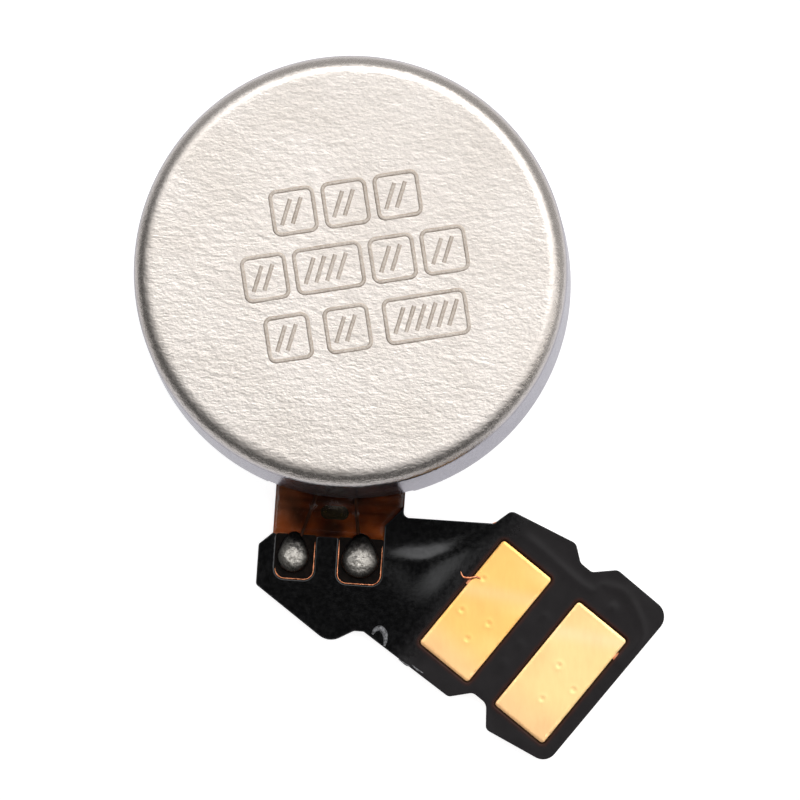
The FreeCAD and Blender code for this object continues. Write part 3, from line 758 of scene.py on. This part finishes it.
def build_base_plate():
    beside = math.asin(TONGUE_HALF / CASE_RADIUS)
    turns = np.linspace(beside, 2 * math.pi - beside, 420)
    arc = [(CASE_RADIUS * math.sin(a), -CASE_RADIUS * math.cos(a)) for a in turns]
    root = math.sqrt(CASE_RADIUS**2 - TONGUE_HALF**2)
    tip = [(side * TONGUE_HALF, -TONGUE_TIP, TONGUE_CORNER) for side in (-1, 1)]
    tongue = rounded([(-TONGUE_HALF, -root), *tip, (TONGUE_HALF, -root)])
    outline = np.vstack([up_to(tongue, (TONGUE_HALF, -root)), np.array(arc[1:-1])])

    def on_rim(places):
        return (np.linalg.norm(places, axis=1) > CASE_RADIUS - 0.35) & (places[:, 1] > -root - 0.001)

    def low(places):
        roll = np.where(on_rim(places), RIM_ROLL, TONGUE_ROLL)
        share = np.clip(1 - distance_to(places, outline) / roll, 0, 1)
        return roll * (1 - np.sqrt(1 - share**2))

    def high(places):
        bevel = np.where(on_rim(places), SEAM_GROOVE, TONGUE_BEVEL)
        return PLATE_TOP - np.clip(bevel - distance_to(places, outline), 0, None)

    insets = (0.006, 0.02, 0.05, 0.08, 0.12)
    plate = sheet("base_plate", [outline], low, high, LOOKS["plate_steel"], 0.5, insets, 60)
    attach(plate, "housing")
    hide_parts("base_bracket")
    profile = [
        (RING_HIGH, PLATE_TOP - 0.01),
        (RING_HIGH, RING_TOP - RING_BEVEL),
        (RING_HIGH - RING_BEVEL, RING_TOP),
        (RING_LOW + RING_BEVEL, RING_TOP),
        (RING_LOW, RING_TOP - RING_BEVEL),
        (RING_LOW, PLATE_TOP - 0.01),
    ]
    gap = math.asin(NOTCH_HALF / RING_LOW)
    turns = np.linspace(gap, 2 * math.pi - gap, 240)
    points = [(r * math.sin(a), -r * math.cos(a), z) for a in turns for r, z in profile]
    ring = add_mesh("locating_ring", points, bar(len(turns), len(profile)), LOOKS["plate_steel"])
    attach(ring, "housing")


WELD_HALF_ANGLE = math.radians(2.6)
WELD_COLUMNS, WELD_SIDES = 15, 12
WELD_SUNK, WELD_WIDTH, WELD_HEIGHT = 0.065, 0.050, 0.075


def build_welds():
    """Four laser weld nuggets: a puddle with frozen ripples across the seam at each quarter."""
    points, faces = [], []
    for quarter in range(4):
        faces += bar(WELD_COLUMNS, WELD_SIDES, len(points))
        for i in range(WELD_COLUMNS):
            t = i / (WELD_COLUMNS - 1) * 2 - 1
            angle = math.radians(45 + 90 * quarter) + t * WELD_HALF_ANGLE
            bulk = math.sqrt(max(1 - t * t, 0.004))
            ripple = 1 + 0.10 * math.sin(14 * t)
            for turn in (2 * math.pi * k / WELD_SIDES for k in range(WELD_SIDES)):
                r = CASE_RADIUS + WALL_FLARE - WELD_SUNK + WELD_WIDTH * bulk * ripple * math.cos(turn)
                z = PLATE_TOP + WELD_HEIGHT * bulk * math.sin(turn)
                points.append((r * math.cos(angle), r * math.sin(angle), z))
    welds = add_mesh("weld_nuggets", points, faces, LOOKS["weld"], 60)
    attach(welds, "housing")
    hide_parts("weld_spots")


# ---- flex

NECK, NECK_END = 1.21, -2.4
WAIST_TOP = -4.318
BEND_START, BEND_END, BEND_HEIGHT = -2.38, -1.94, 0.255

LAND_LOWER_EDGE = [
    (-NECK, -4.76, 0.03), (-1.461, -4.99, 0.05), (-1.461, -5.75, 0.08),
    (-0.03, -6.755, 0.36), (0.43, -6.497, 0.12), (0.61, -6.50, 0.05),
]
TAIL_EDGE = [
    (-0.43, -1.68, 0.12), (-0.12, -1.33, 0.15), (0.20, -1.33, 0.20), (0.50, -1.71, 0.12),
    (1.78, -1.48, 0.28), (1.81, 2.14, 0.30), (0.52, 2.16, 0.15), (0.17, 1.82, 0.12),
    (-0.10, 1.82, 0.15), (-0.40, 2.05, 0.15), (-1.72, 1.76, 0.14), (-1.82, 1.365, 0.05),
]
NECK_FOOT = (NECK, WAIST_TOP, 0.11)
SOLDER_BAYS = {1: (-1.147, -0.386, -5.62), 2: (0.021, 0.876, -5.64)}
BAY_TOP = -4.78
BAY_RADIUS = 0.20
PAD_WIDTH, PAD_LENGTH, PAD_CORNER, PAD_MARGIN = 1.16, 2.48, 0.06, 0.04
SLOT = rectangle(-0.345, 0.185, -4.44, -4.18, 0.128)
RUN_WIDTH = 0.16
RUNS = {
    1: [(-0.767, -5.50), (-0.767, -5.85), (0.78, -5.85), tail(BEND_START, -1.0), tail(BEND_END, -1.0)]
    + [tail(*place) for place in ((-1.72, -0.8), (-1.72, 0.24), (-1.485, 0.24))],
    2: [(0.70, -5.05), (1.20, -5.05), (1.55, -4.70), tail(BEND_START, 0.30), tail(BEND_END, 0.30)]
    + [tail(*place) for place in ((-1.74, 0.50), (-1.64, 1.48), (0.25, 1.52), (0.50, 1.76), (0.82, 1.90))]
    + [tail(*place) for place in ((1.16, 1.83), (1.65, 1.50), (1.65, 0.90), (1.485, 0.90))],
}


def land_and_tail_edge():
    """The outline shared by the film and the coverlay, from the neck's left foot round the tail."""
    round_tail = [tail(*corner) for corner in TAIL_EDGE]
    return LAND_LOWER_EDGE + round_tail + [(round_tail[-1][0] - 0.25, WAIST_TOP)]


def pad_corners(number, margin=0.0):
    middle = (number - 1.5) * PAD_PITCH
    half, reach = PAD_WIDTH / 2 + margin, PAD_LENGTH / 2 + margin
    corners = rectangle(middle - half, middle + half, -reach, reach, PAD_CORNER + margin)
    return [tail(*corner) for corner in corners]


CREASE_START, CREASE_END = np.array([1.26, -5.20]), np.array([2.95, -4.49])
CREASE_HEIGHT, CREASE_SAG, CREASE_BELOW = 0.066, 0.68, 0.85
# the film follows the crease a little less than the coverlay over it
FILM_SHARE = 0.9


def hump(places):
    """The flex's soft crease from the land to the waist: steep on its upper side and gentle below."""
    length = np.linalg.norm(CREASE_END - CREASE_START)
    run = (CREASE_END - CREASE_START) / length
    away = places[:, :2] - CREASE_START
    along = (away @ run) / length
    above = away @ np.array([-run[1], run[0]]) + CREASE_SAG * along * (1 - along)
    start = ease(along, -0.45, 0.25)
    along = np.clip(along, 0, 1)
    width = np.where(above > 0, 0.30 - 0.07 * along, CREASE_BELOW)
    before_pad = 1 - ease(tail_coordinates(places[:, :2])[0], -2.35, -1.50)
    return CREASE_HEIGHT * (1 - 0.50 * along) * bell(above, width) * start * before_pad


def film_top(places):
    return FILM_TOP + hump(places) * FILM_SHARE


# the film's colours: dark brown on the neck where it lies in painted shade, amber where painted light comes
# through it, orange where that light comes through at its foot, what the left edge adds, and under the coverlay
FILM_BROWN, FILM_AMBER = np.array([0.030, 0.008, 0.004]), np.array([0.15, 0.036, 0.008])
FILM_ORANGE, FILM_LEFT_EDGE = np.array([0.46, 0.125, 0.020]), np.array([0.15, 0.075, 0.055])
FILM_UNDER = np.array([0.05, 0.024, 0.012])


def build_film():
    edge = land_and_tail_edge()
    loops = [rounded([(-NECK, NECK_END)] + edge + [NECK_FOOT, (NECK, NECK_END)]), rounded(SLOT)]

    def low(places):
        return FILM_LOW + hump(places) * FILM_SHARE

    film = sheet("flex_film", loops, low, film_top, LOOKS["film"], 0.07, (0.01,))

    def colour(places):
        x, y = places[:, 0], places[:, 1]
        flat = places[:, :2]
        # painted light coming through the film: amber towards its sides, orange near its foot
        lit = ease(perlin(flat, 0.5, 3.0) + 0.55 * np.abs(x), -0.2, 0.9)
        near_foot = ease(-y, 4.25, 4.75)
        tone = tween(FILM_BROWN, FILM_AMBER, lit)
        tone = tween(tone, FILM_ORANGE, 0.75 * near_foot * lit)
        # painted reflections: darker bands across the neck near the case
        bands = 0.75 + 0.25 * np.sin(y * 34 + 2 * perlin(flat, (0.9, 0.3), 8.0))
        tone = tone * np.where(y > -4.3, bands, 1.0)[:, None]
        left_edge = ease(-x + 0.10 * perlin(flat, 0.4, 13.0), 0.62, 1.05)
        tone = tone + FILM_LEFT_EDGE * left_edge[:, None]
        return tween(FILM_UNDER, tone, (1 - ease(-y, 4.85, 4.95)) * (1 - ease(x, 1.22, 1.30)))

    paint(film, colour)
    blend_flex(film)
    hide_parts("film_land", "film_tail", "flex_bend")


def blend_flex(piece):
    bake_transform(piece)


BAY_EDGE = [
    (NECK, -4.13), (SOLDER_BAYS[2][1], -4.50),
    (SOLDER_BAYS[2][1], SOLDER_BAYS[2][2], BAY_RADIUS), (SOLDER_BAYS[2][0], SOLDER_BAYS[2][2], BAY_RADIUS),
    (SOLDER_BAYS[2][0], BAY_TOP, 0.04), (SOLDER_BAYS[1][1], BAY_TOP, 0.04),
    (SOLDER_BAYS[1][1], SOLDER_BAYS[1][2], BAY_RADIUS), (SOLDER_BAYS[1][0], SOLDER_BAYS[1][2], BAY_RADIUS),
    (SOLDER_BAYS[1][0], BAY_TOP),
]


# the coverlay's colours: on the land, on the head, and at the edge of a pad's opening
COVERLAY_BLACK, COVERLAY_SOFT = np.array([0.0007, 0.0007, 0.0009]), np.array([0.0115, 0.0092, 0.0098])
COVERLAY_BROWN = np.array([0.045, 0.009, 0.003])
# each bump's place on the tail, height and width
COVERLAY_BUMPS = (
    ((0.89, 1.55), 0.018, 0.10), ((-0.03, -0.55), 0.010, 0.09),
    ((-0.01, -0.08), 0.010, 0.09), ((0.02, 0.62), 0.010, 0.09),
)


def build_coverlay():
    outline = rounded(land_and_tail_edge() + [NECK_FOOT] + BAY_EDGE)
    openings = [rounded(pad_corners(number, PAD_MARGIN)) for number in (1, 2)]
    loops = [outline, *openings]
    ridges = [smooth_path(RUNS[1], 80), smooth_path(RUNS[2], 120)]

    def high(places):
        edge = distance_to_any(places, loops)
        u = tail_coordinates(places)[0]
        on_head, past_pad = ease(u, -2.0, -1.5), ease(u, -1.4, -1.0)
        z = COVERLAY_TOP - 0.004 * (1 - ease(edge, 0, 0.012))
        for ridge in ridges:
            z = z + (0.001 + 0.011 * past_pad) * bell(distance_to(places, ridge, closed=False), 0.085)
        z = z + (0.003 + 0.007 * on_head) * perlin(places, 0.9, 11.0) * ease(edge, 0.0, 0.15)
        z = z + 0.003 * on_head * perlin(places, 0.35, 4.0) * ease(edge, 0.0, 0.1)
        for spot, height, width in COVERLAY_BUMPS:
            z = z + height * bell(from_spot(places, tail(*spot)), width)
        return z + hump(places)

    cover = sheet("flex_coverlay", loops, film_top, high, LOOKS["coverlay"], 0.05, (0.010, 0.022))

    def colour(places):
        on_head = ease(tail_coordinates(places[:, :2])[0], -1.9, -1.0)
        near_pads = bell(distance_to_any(places[:, :2], openings), 0.035)
        return tween(tween(COVERLAY_BLACK, COVERLAY_SOFT, on_head), COVERLAY_BROWN, near_pads * 0.9)

    paint(cover, colour)
    blend_flex(cover)
    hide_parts("coverlay_land", "coverlay_tail")


def build_runs():
    """The copper of the two nets under the coverlay."""
    for number, path in RUNS.items():
        middle = smooth_path(path, 160)
        points = [
            (*(place + across * share * RUN_WIDTH / 2), z)
            for place, across in zip(middle, left_of(np.gradient(middle, axis=0)))
            for share, z in ((-1, FILM_TOP), (-0.9, COPPER_TOP), (0.9, COPPER_TOP), (1, FILM_TOP))
        ]
        strip = add_mesh(f"copper_run_{number}", points, bar(len(middle), 4), LOOKS["copper"])
        blend_flex(strip)
        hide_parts(f"trace_{number}_land", f"trace_{number}_tail")


# ---- contact pads and stiffener

PAD_DIMPLES = {
    1: ((-1.26, -0.27), (-0.71, -0.15), (-0.84, -0.62), (-1.32, 0.44)),
    2: ((0.80, 0.08), (0.95, -0.60), (1.30, -0.1)),
}


# each pad's colours, deep and warm by its mottle and low at its foot, and where its painted highlight, a
# brighter diagonal sweep, lies
PAD_TONES = {
    1: ((0.97, 0.55, 0.17), (0.97, 0.67, 0.26), (0.96, 0.58, 0.29), 0.9),
    2: ((0.92, 0.59, 0.26), (0.92, 0.64, 0.29), (0.91, 0.54, 0.27), 0.35),
}


def build_pads():
    for number in (1, 2):
        loop = rounded(pad_corners(number))

        def high(places, number=number, loop=loop):
            edge = distance_to(places, loop)
            z = PAD_TOP - 0.010 * (1 - ease(edge, 0, 0.03))
            for k, dimple in enumerate(PAD_DIMPLES[number]):
                away = from_spot(places, tail(*dimple))
                z = z - 0.006 * bell(away, 0.035 + 0.008 * (k % 3)) + 0.0025 * bell(away - 0.07, 0.03)
            z = z + 0.0040 * perlin(places, 1.3, 20.0 + number) * ease(edge, 0, 0.1)
            return z + 0.0005 * perlin(places, 0.25, 30.0 + number) * ease(edge, 0, 0.1)

        low, insets = FILM_TOP - 0.002, (0.008, 0.025)
        pad = sheet(f"gold_pad_{number}", [loop], low, high, LOOKS["gold"], 0.035, insets, 60)

        def colour(places, number=number):
            u, v = tail_coordinates(places[:, :2])
            deep, warm, low = np.array(PAD_TONES[number][:3])
            mottle = perlin(places[:, :2], (0.8, 0.5), 40.0 + number)
            tone = tween(deep, warm, ease(mottle + 0.5 * u, -0.5, 0.7))
            tone = tween(tone, low, 0.8 * ease(-v, 0.45, 1.25))
            # a painted highlight: a soft diagonal sweep towards white
            return tween(tone, 1, bell(v - 0.55 * u - PAD_TONES[number][3], 0.16) * 0.08)

        paint(pad, colour)
        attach(pad, "tail")
        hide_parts(f"contact_pad_{number}")


def build_stiffener():
    loop = rounded([tail(*corner) for corner in rectangle(-1.65, 1.74, -1.28, 1.77, 0.15)])

    def low(places):
        edge = distance_to(places, loop)
        return STIFFENER_LOW + 0.02 * (1 - ease(edge, 0, 0.03)) + 0.002 * perlin(places, 0.3, 50.0)

    board = sheet("stiffener_board", [loop], low, FILM_LOW - 0.001, LOOKS["stiffener"], 0.15, (0.012, 0.03))
    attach(board, "tail")
    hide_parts("pad_stiffener")


# ---- solder joints, bay rims and resin

# each dome's middle and its half widths
DOMES = {1: (-0.80, -5.17, 0.30, 0.32), 2: (0.45, -5.17, 0.355, 0.35)}
DOME_RINGS, DOME_SPOKES = 26, 72
DOME_ROUGHNESS = 0.014


def build_solder():
    """Two domes of solder, drawn out a little towards the case."""
    for number, (cx, cy, a, b) in DOMES.items():
        points = []
        for i in range(DOME_RINGS + 1):
            t = i / DOME_RINGS
            r, crown = math.sin(t * math.pi / 2), math.cos(t * math.pi / 2) ** 0.62
            for turn in (2 * math.pi * k / DOME_SPOKES for k in range(DOME_SPOKES)):
                x, y = r * math.cos(turn), r * math.sin(turn)
                upward = max(y, 0)
                px = cx + a * x * (1 - 0.18 * upward)
                py = cy + b * y * (1 + 0.45 * upward)
                z = COPPER_TOP + (SOLDER_TOP - COPPER_TOP) * crown * (1 - 0.35 * upward * r)
                rough = noise.noise(Vector((px / 0.09, py / 0.09, number * 9.0)))
                rough += 0.5 * noise.noise(Vector((px / 0.04, py / 0.04, number * 5.0)))
                points.append((px, py, z + DOME_ROUGHNESS * rough * min(1, 4 * (1 - t))))
        points += [(x, y, FILM_TOP) for x, y, _ in points[-DOME_SPOKES:]]
        faces = [(face[0], *face[:0:-1]) for face in bar(DOME_RINGS + 2, DOME_SPOKES)[:-2]]
        faces.append(tuple(range(len(points) - DOME_SPOKES, len(points)))[::-1])
        joint = add_mesh(f"solder_dome_{number}", points, faces, LOOKS["solder"], 75)

        def colour(places, cx=cx, cy=cy, a=a, b=b):
            """Painted highlight in the middle, fading to painted dark reflections where the dome is steep, and
            dark on the case's side.
            """
            away = np.hypot((places[:, 0] - cx) / a, (places[:, 1] - cy) / b)
            # painted highlight in the dome's middle, and painted dark reflections on its steep sides
            bright = 1 - ease(away, 0.22, 0.98)
            above = ease(places[:, 1] - cy, 0.12, 0.46)
            shade = (0.12 + 0.88 * bright) * (1 - 0.60 * above)
            return shade[:, None] * np.array([0.84, 0.83, 0.81])

        paint(joint, colour)
        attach(joint, "housing")
        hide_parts(f"solder_joint_{number}")


RIM_INSET, RIM_ENDS = 0.022, {1: -5.42, 2: -4.82}


def build_bays():
    """The solder pads' copper, coloured almost black, and the thin bright edge of copper round each bay."""
    for number, (left, right, low_y) in SOLDER_BAYS.items():
        foot = [(x, low_y + 0.004, BAY_RADIUS) for x in (left + 0.004, right - 0.004)]
        loop = rounded(foot + [(x, BAY_TOP + 0.02, 0.05) for x in (right - 0.004, left + 0.004)])

        def high(places, number=number):
            return COPPER_TOP + 0.010 + 0.004 * perlin(places, 0.12, 60.0 + number)

        dark_pad = sheet(f"solder_pad_{number}", [loop], FILM_TOP, high, LOOKS["bay_copper"], 0.05, (0.02,))
        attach(dark_pad, "housing")
        start, end = (right - RIM_INSET, -4.88), (left + RIM_INSET, RIM_ENDS[number])
        foot = [(x, low_y + RIM_INSET, BAY_RADIUS - RIM_INSET) for x in (start[0], end[0])]
        path = up_to(rounded([start, *foot, end], math.radians(10), 0.04), end)
        wobble = perlin(path, 0.10, 70.0 + number)
        raised = np.c_[path, COPPER_TOP + 0.016 + 0.006 * wobble]

        def thickness(share, wobble=wobble):
            here = wobble[int(share * (len(wobble) - 1))]
            return 0.0165 * (0.75 + 0.45 * here) * min(1, 12 * min(share, 1 - share) + 0.15)

        rim = tube(f"bay_rim_{number}", raised, thickness, LOOKS["copper"])
        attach(rim, "housing")


RESIN_EDGE = (
    (-1.195, -4.745, 0.06), (0.87, -4.745, 0.06), (0.87, -4.53, 0.06),
    (1.185, -4.16, 0.06), (1.185, -3.82), (-1.195, -3.82),
)
RESIN_BUMPS = (((0.20, -3.98), 0.05), ((0.32, -4.30), 0.04), ((-0.10, -4.12), 0.06), ((-0.50, -4.20), 0.05))


def build_resin():
    loop = rounded(RESIN_EDGE)

    def high(places):
        edge = distance_to(places, loop)
        x, y = places[:, 0], places[:, 1]
        lift = 0.62 + 0.16 * ease(y, -4.6, -3.9)
        z = FILM_TOP + 0.02 + (RESIN_TOP - FILM_TOP - 0.03) * lift * ease(edge, 0, 0.06)
        z = z - 0.010 * bell(np.hypot((x + 0.08) / 0.30, (y + 4.30) / 0.16), 1.0)
        for spot, size in RESIN_BUMPS:
            z = z + 0.012 * bell(from_spot(places, spot), size)
        return z + 0.0010 * perlin(places, 0.16, 80.0) * ease(edge, 0, 0.1) + 0.004 * perlin(places, 0.5, 81.0)

    def slot_level(places):
        return FILM_LOW + 0.012 + 0.004 * perlin(places, 0.1, 90.0)

    fill = sheet("slot_fill", [rounded(SLOT)], PLATE_TOP, slot_level, LOOKS["slot_fill"], 0.04)
    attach(fill, "housing")
    bead = sheet("neck_resin", [loop], FILM_TOP + 0.002, high, LOOKS["resin"], 0.035, (0.01, 0.03), 60)
    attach(bead, "housing")
    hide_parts("resin_bead")


# ---- small flaws of the real flex

HOOK = ((0.78, -6.54), (0.83, -6.45), (0.92, -6.42), (1.00, -6.49), (1.03, -6.61), (1.02, -6.74))
SCRATCHES = (((1.30, -6.97), (1.44, -7.06), (1.52, -7.09)), ((1.56, -7.06), (1.66, -7.14), (1.78, -7.20)))
BURR = ((-1.73, 0.27), (-1.63, 0.23), (-1.53, 0.29), (-1.45, 0.38), (-1.36, 0.41))


def surface_tube(name, route, radius, height, material):
    """A thin bead that lies on the coverlay along a route in the plane."""
    path = smooth_path(route, 40)
    level = COVERLAY_TOP + hump(path) + height * (1 + 0.5 * perlin(path, 0.07, 97.0))

    def tapered(share):
        return radius * (0.35 + 0.65 * math.sin(math.pi * min(max(share, 0.03), 0.97)))

    return tube(name, np.c_[path, level], tapered, material, 8, 0.7)


def build_flaws():
    """A curled sliver and scratches at the waist's lower edge, and a copper burr beside the first pad."""
    hook = surface_tube("waist_sliver", HOOK, 0.055, 0.012, LOOKS["peeled"])
    blend_flex(hook)
    for number, route in enumerate(SCRATCHES, start=1):
        scratch = surface_tube(f"waist_scratch_{number}", route, 0.016, 0.002, LOOKS["peeled"])
        blend_flex(scratch)
    burr = surface_tube("copper_burr", [tail(*place) for place in BURR], 0.026, -0.004, LOOKS["copper"])
    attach(burr, "tail")


# ---- flat spring

SPRING_LOW, SPRING_HIGH = box("flexure_spring")[0].z, box("flexure_spring")[1].z
SPRING_THICKNESS = 0.08
HUB_HOLE, HUB_RADIUS = 0.5, 1.35
RIM_INNER = 3.15
RIM_OUTER = box("flexure_spring")[1].x
# each arm's inner and outer edges start at these radii and grow by ARM_GROWTH in ARM_TURN
ARM_INNER, ARM_OUTER = 0.90, 1.30
ARM_GROWTH, ARM_TURN = 2.18, math.radians(198)


def circle(radius, count):
    turns = np.linspace(0, 2 * math.pi, count, endpoint=False)
    return np.stack([radius * np.cos(turns), radius * np.sin(turns)], 1)


def spring_window(first_angle):
    """The opening between one arm's outer edge and the inner edge of the arm a third of a turn ahead."""
    third = 2 * math.pi / 3
    slope = ARM_GROWTH / ARM_TURN
    start = (HUB_RADIUS - ARM_INNER) / slope - third
    end = (RIM_INNER - ARM_OUTER) / slope
    turns = np.linspace(start, end, 70)
    low = np.clip(ARM_OUTER + slope * turns, HUB_RADIUS, RIM_INNER)
    high = np.clip(ARM_INNER + slope * (turns + third), HUB_RADIUS, RIM_INNER)
    radii = np.r_[low, high[-2:0:-1]]
    angles = first_angle + np.r_[turns, turns[-2:0:-1]]
    return np.stack([radii * np.cos(angles), radii * np.sin(angles)], 1)


def build_spring():
    """A flat hub, three spiral arms that rise, and a rim on the case."""
    windows = [spring_window(2 * math.pi * k / 3) for k in range(3)]
    loops = [circle(RIM_OUTER, 220), circle(HUB_HOLE, 48), *windows]
    rise = SPRING_HIGH - SPRING_LOW - SPRING_THICKNESS

    def low(places):
        share = (np.linalg.norm(places, axis=1) - HUB_RADIUS) / (RIM_INNER - HUB_RADIUS)
        return SPRING_LOW + rise * np.clip(share, 0, 1)

    def high(places):
        return low(places) + SPRING_THICKNESS

    spring = sheet("flat_spring", loops, low, high, LOOKS["spring"], 0.14, (0.02,))
    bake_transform(spring)
    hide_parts("flexure_spring")


# ---- pieces kept as the CAD made them

KEPT = {
    "coil": "wire",
    "coil_lead_1": "enamel",
    "coil_lead_2": "enamel",
    "bottom_damper": "rubber",
    "top_damper": "rubber",
    "spring_clamp": "yoke",
    "yoke": "yoke",
    "magnet": "magnet",
    "pole_plate": "yoke",
    "weight_ring": "tungsten",
}


def dress_kept_nodes():
    for node, look in KEPT.items():
        materials = frame["nodes"][node].data.materials
        for index in range(len(materials)):
            materials[index] = LOOKS[look]


# ---- floor, light and camera

VIEW_ELEVATION = math.radians(84.5)
VIEW_AZIMUTH = math.radians(23.0)
VIEW_ROLL = math.radians(19.14)
VIEW_DISTANCE = 150.0
VIEW_LENS = 363.1
# how far the case's middle stands from the picture's middle, as shares of the distance
CASE_LEFT, CASE_ABOVE = 0.00587, 0.01518


FLOOR_REACH, FLOOR_HEIGHT, FLOOR_SIDES = 400.0, -0.01, 64
# how strongly the floor glows: painted light, following the pool, that washes out shadows on it
FLOOR_GLOW = 0.88
# the painted pool of light on the floor, fading to grey away from the object: its middle, and where it starts
# and stops fading
POOL_MIDDLE, POOL_FADE = (0.7 * MM, -1.9 * MM, 0), (8.0 * MM, 17 * MM)


def build_floor():
    points = [(0, 0, FLOOR_HEIGHT), *((x, y, FLOOR_HEIGHT) for x, y in circle(FLOOR_REACH, FLOOR_SIDES))]
    faces = [(0, i + 1, (i + 1) % FLOOR_SIDES + 1) for i in range(FLOOR_SIDES)]
    look = Look("pale_floor", Roughness=0.9, Specular_IOR_Level=0.1)
    pool = look.range(look.vector("DISTANCE", look.place, POOL_MIDDLE), *POOL_FADE, 0, 1)
    paper = look.ramp(look.noise(30.0), (0.3, (0.93, 0.93, 0.93)), (0.7, (0.95, 0.95, 0.95)))
    # painted pool of light: the floor is pale near the middle and grey further out, and glows in the same
    # colour
    shade = look.mix(pool, paper, (0.34, 0.34, 0.35))
    look.colour(look.mix(1.0, shade, (0.5, 0.5, 0.5), "MULTIPLY"))
    look.link(shade, look.shader.inputs["Emission Color"])
    look.shader.inputs["Emission Strength"].default_value = FLOOR_GLOW
    add_mesh("floor", points, faces, look.material)


def add_light(name, place, size, power, colour):
    data = bpy.data.lights.new(name, "AREA")
    data.shape = "RECTANGLE"
    data.size, data.size_y = size[0] * MM, size[1] * MM
    data.energy = power
    data.color = colour
    light = bpy.data.objects.new(name, data)
    light.location = Vector(place) * MM
    light.rotation_euler = (Vector((0, -2, 1)) - Vector(place)).to_track_quat("-Z", "Y").to_euler()
    bpy.context.scene.collection.objects.link(light)


# how bright the studio is, by the cosine of the angle from LIGHT_AXIS: a dim room, and a ring of softboxes with
# a dark hole in its middle
STUDIO = (
    (0.0, 0.16), (0.12, 0.12), (0.62, 0.12), (0.84, 0.60), (0.93, 1.0), (0.968, 1.0), (0.984, 0.03), (1.0, 0.02)
)
STUDIO_STRENGTH = 3.9
LIGHT_AXIS = (-0.0374, 0.0882, 0.9954)
# the studio is brighter towards BRIGHT_SIDE: the cosines where its share starts and ends, and the share at each
BRIGHT_SIDE = (0.42, 0.9075, 0)
SIDE_SHARE = (-0.26, 0.40, 0.24, 1.0)


def build_lights():
    add_light("key", (40, 130, 210), (110, 60), 0.06, (1.0, 0.99, 0.96))
    add_light("window", (190, -20, 130), (60, 160), 0.045, (1.0, 0.99, 0.98))
    world = bpy.data.worlds.new("studio")
    bpy.context.scene.world = world
    world.use_nodes = True
    sky = Nodes(world.node_tree)
    direction = sky.node("ShaderNodeTexCoord").outputs["Generated"]
    height = sky.vector("DOT_PRODUCT", direction, LIGHT_AXIS)
    side = sky.vector("DOT_PRODUCT", direction, BRIGHT_SIDE)
    shaded = sky.node("ShaderNodeVectorMath", operation="MULTIPLY")
    stops = [(at, (grey * 0.98, grey * 0.985, grey)) for at, grey in STUDIO]
    sky.link(sky.ramp(height, *stops), shaded.inputs[0])
    sky.link(sky.range(side, *SIDE_SHARE), shaded.inputs[1])
    background = world.node_tree.nodes["Background"]
    background.inputs["Strength"].default_value = STUDIO_STRENGTH
    sky.link(shaded.outputs["Vector"], background.inputs["Color"])
    bpy.context.scene.view_settings.view_transform = "Standard"


def build_camera():
    level = Vector((math.cos(VIEW_AZIMUTH), math.sin(VIEW_AZIMUTH), 0))
    forward = Vector((math.sin(VIEW_AZIMUTH), -math.cos(VIEW_AZIMUTH), 0))
    back = forward * math.cos(VIEW_ELEVATION) + Vector((0, 0, math.sin(VIEW_ELEVATION)))
    upright = back.cross(level)
    right = level * math.cos(VIEW_ROLL) - upright * math.sin(VIEW_ROLL)
    up = upright * math.cos(VIEW_ROLL) + level * math.sin(VIEW_ROLL)
    ahead = (-back + right * CASE_LEFT - up * CASE_ABOVE).normalized()
    right = (right - ahead * right.dot(ahead)).normalized()
    up = right.cross(ahead)
    data = bpy.data.cameras.new("camera")
    data.lens = VIEW_LENS
    data.sensor_width = 36.0
    data.clip_start = 0.001
    camera = bpy.data.objects.new("camera", data)
    turn = Matrix((right, up, -ahead)).transposed().to_4x4()
    place = Vector((0, 0, CASE_TOP / 2)) + back * VIEW_DISTANCE
    camera.matrix_world = Matrix.Translation(place * MM) @ turn
    bpy.context.scene.collection.objects.link(camera)
    bpy.context.scene.camera = camera


build_case()
build_marks()
build_base_plate()
build_welds()
build_film()
build_coverlay()
build_runs()
build_pads()
build_stiffener()
build_solder()
build_bays()
build_resin()
build_flaws()
build_spring()
dress_kept_nodes()
build_floor()
build_lights()
build_camera()
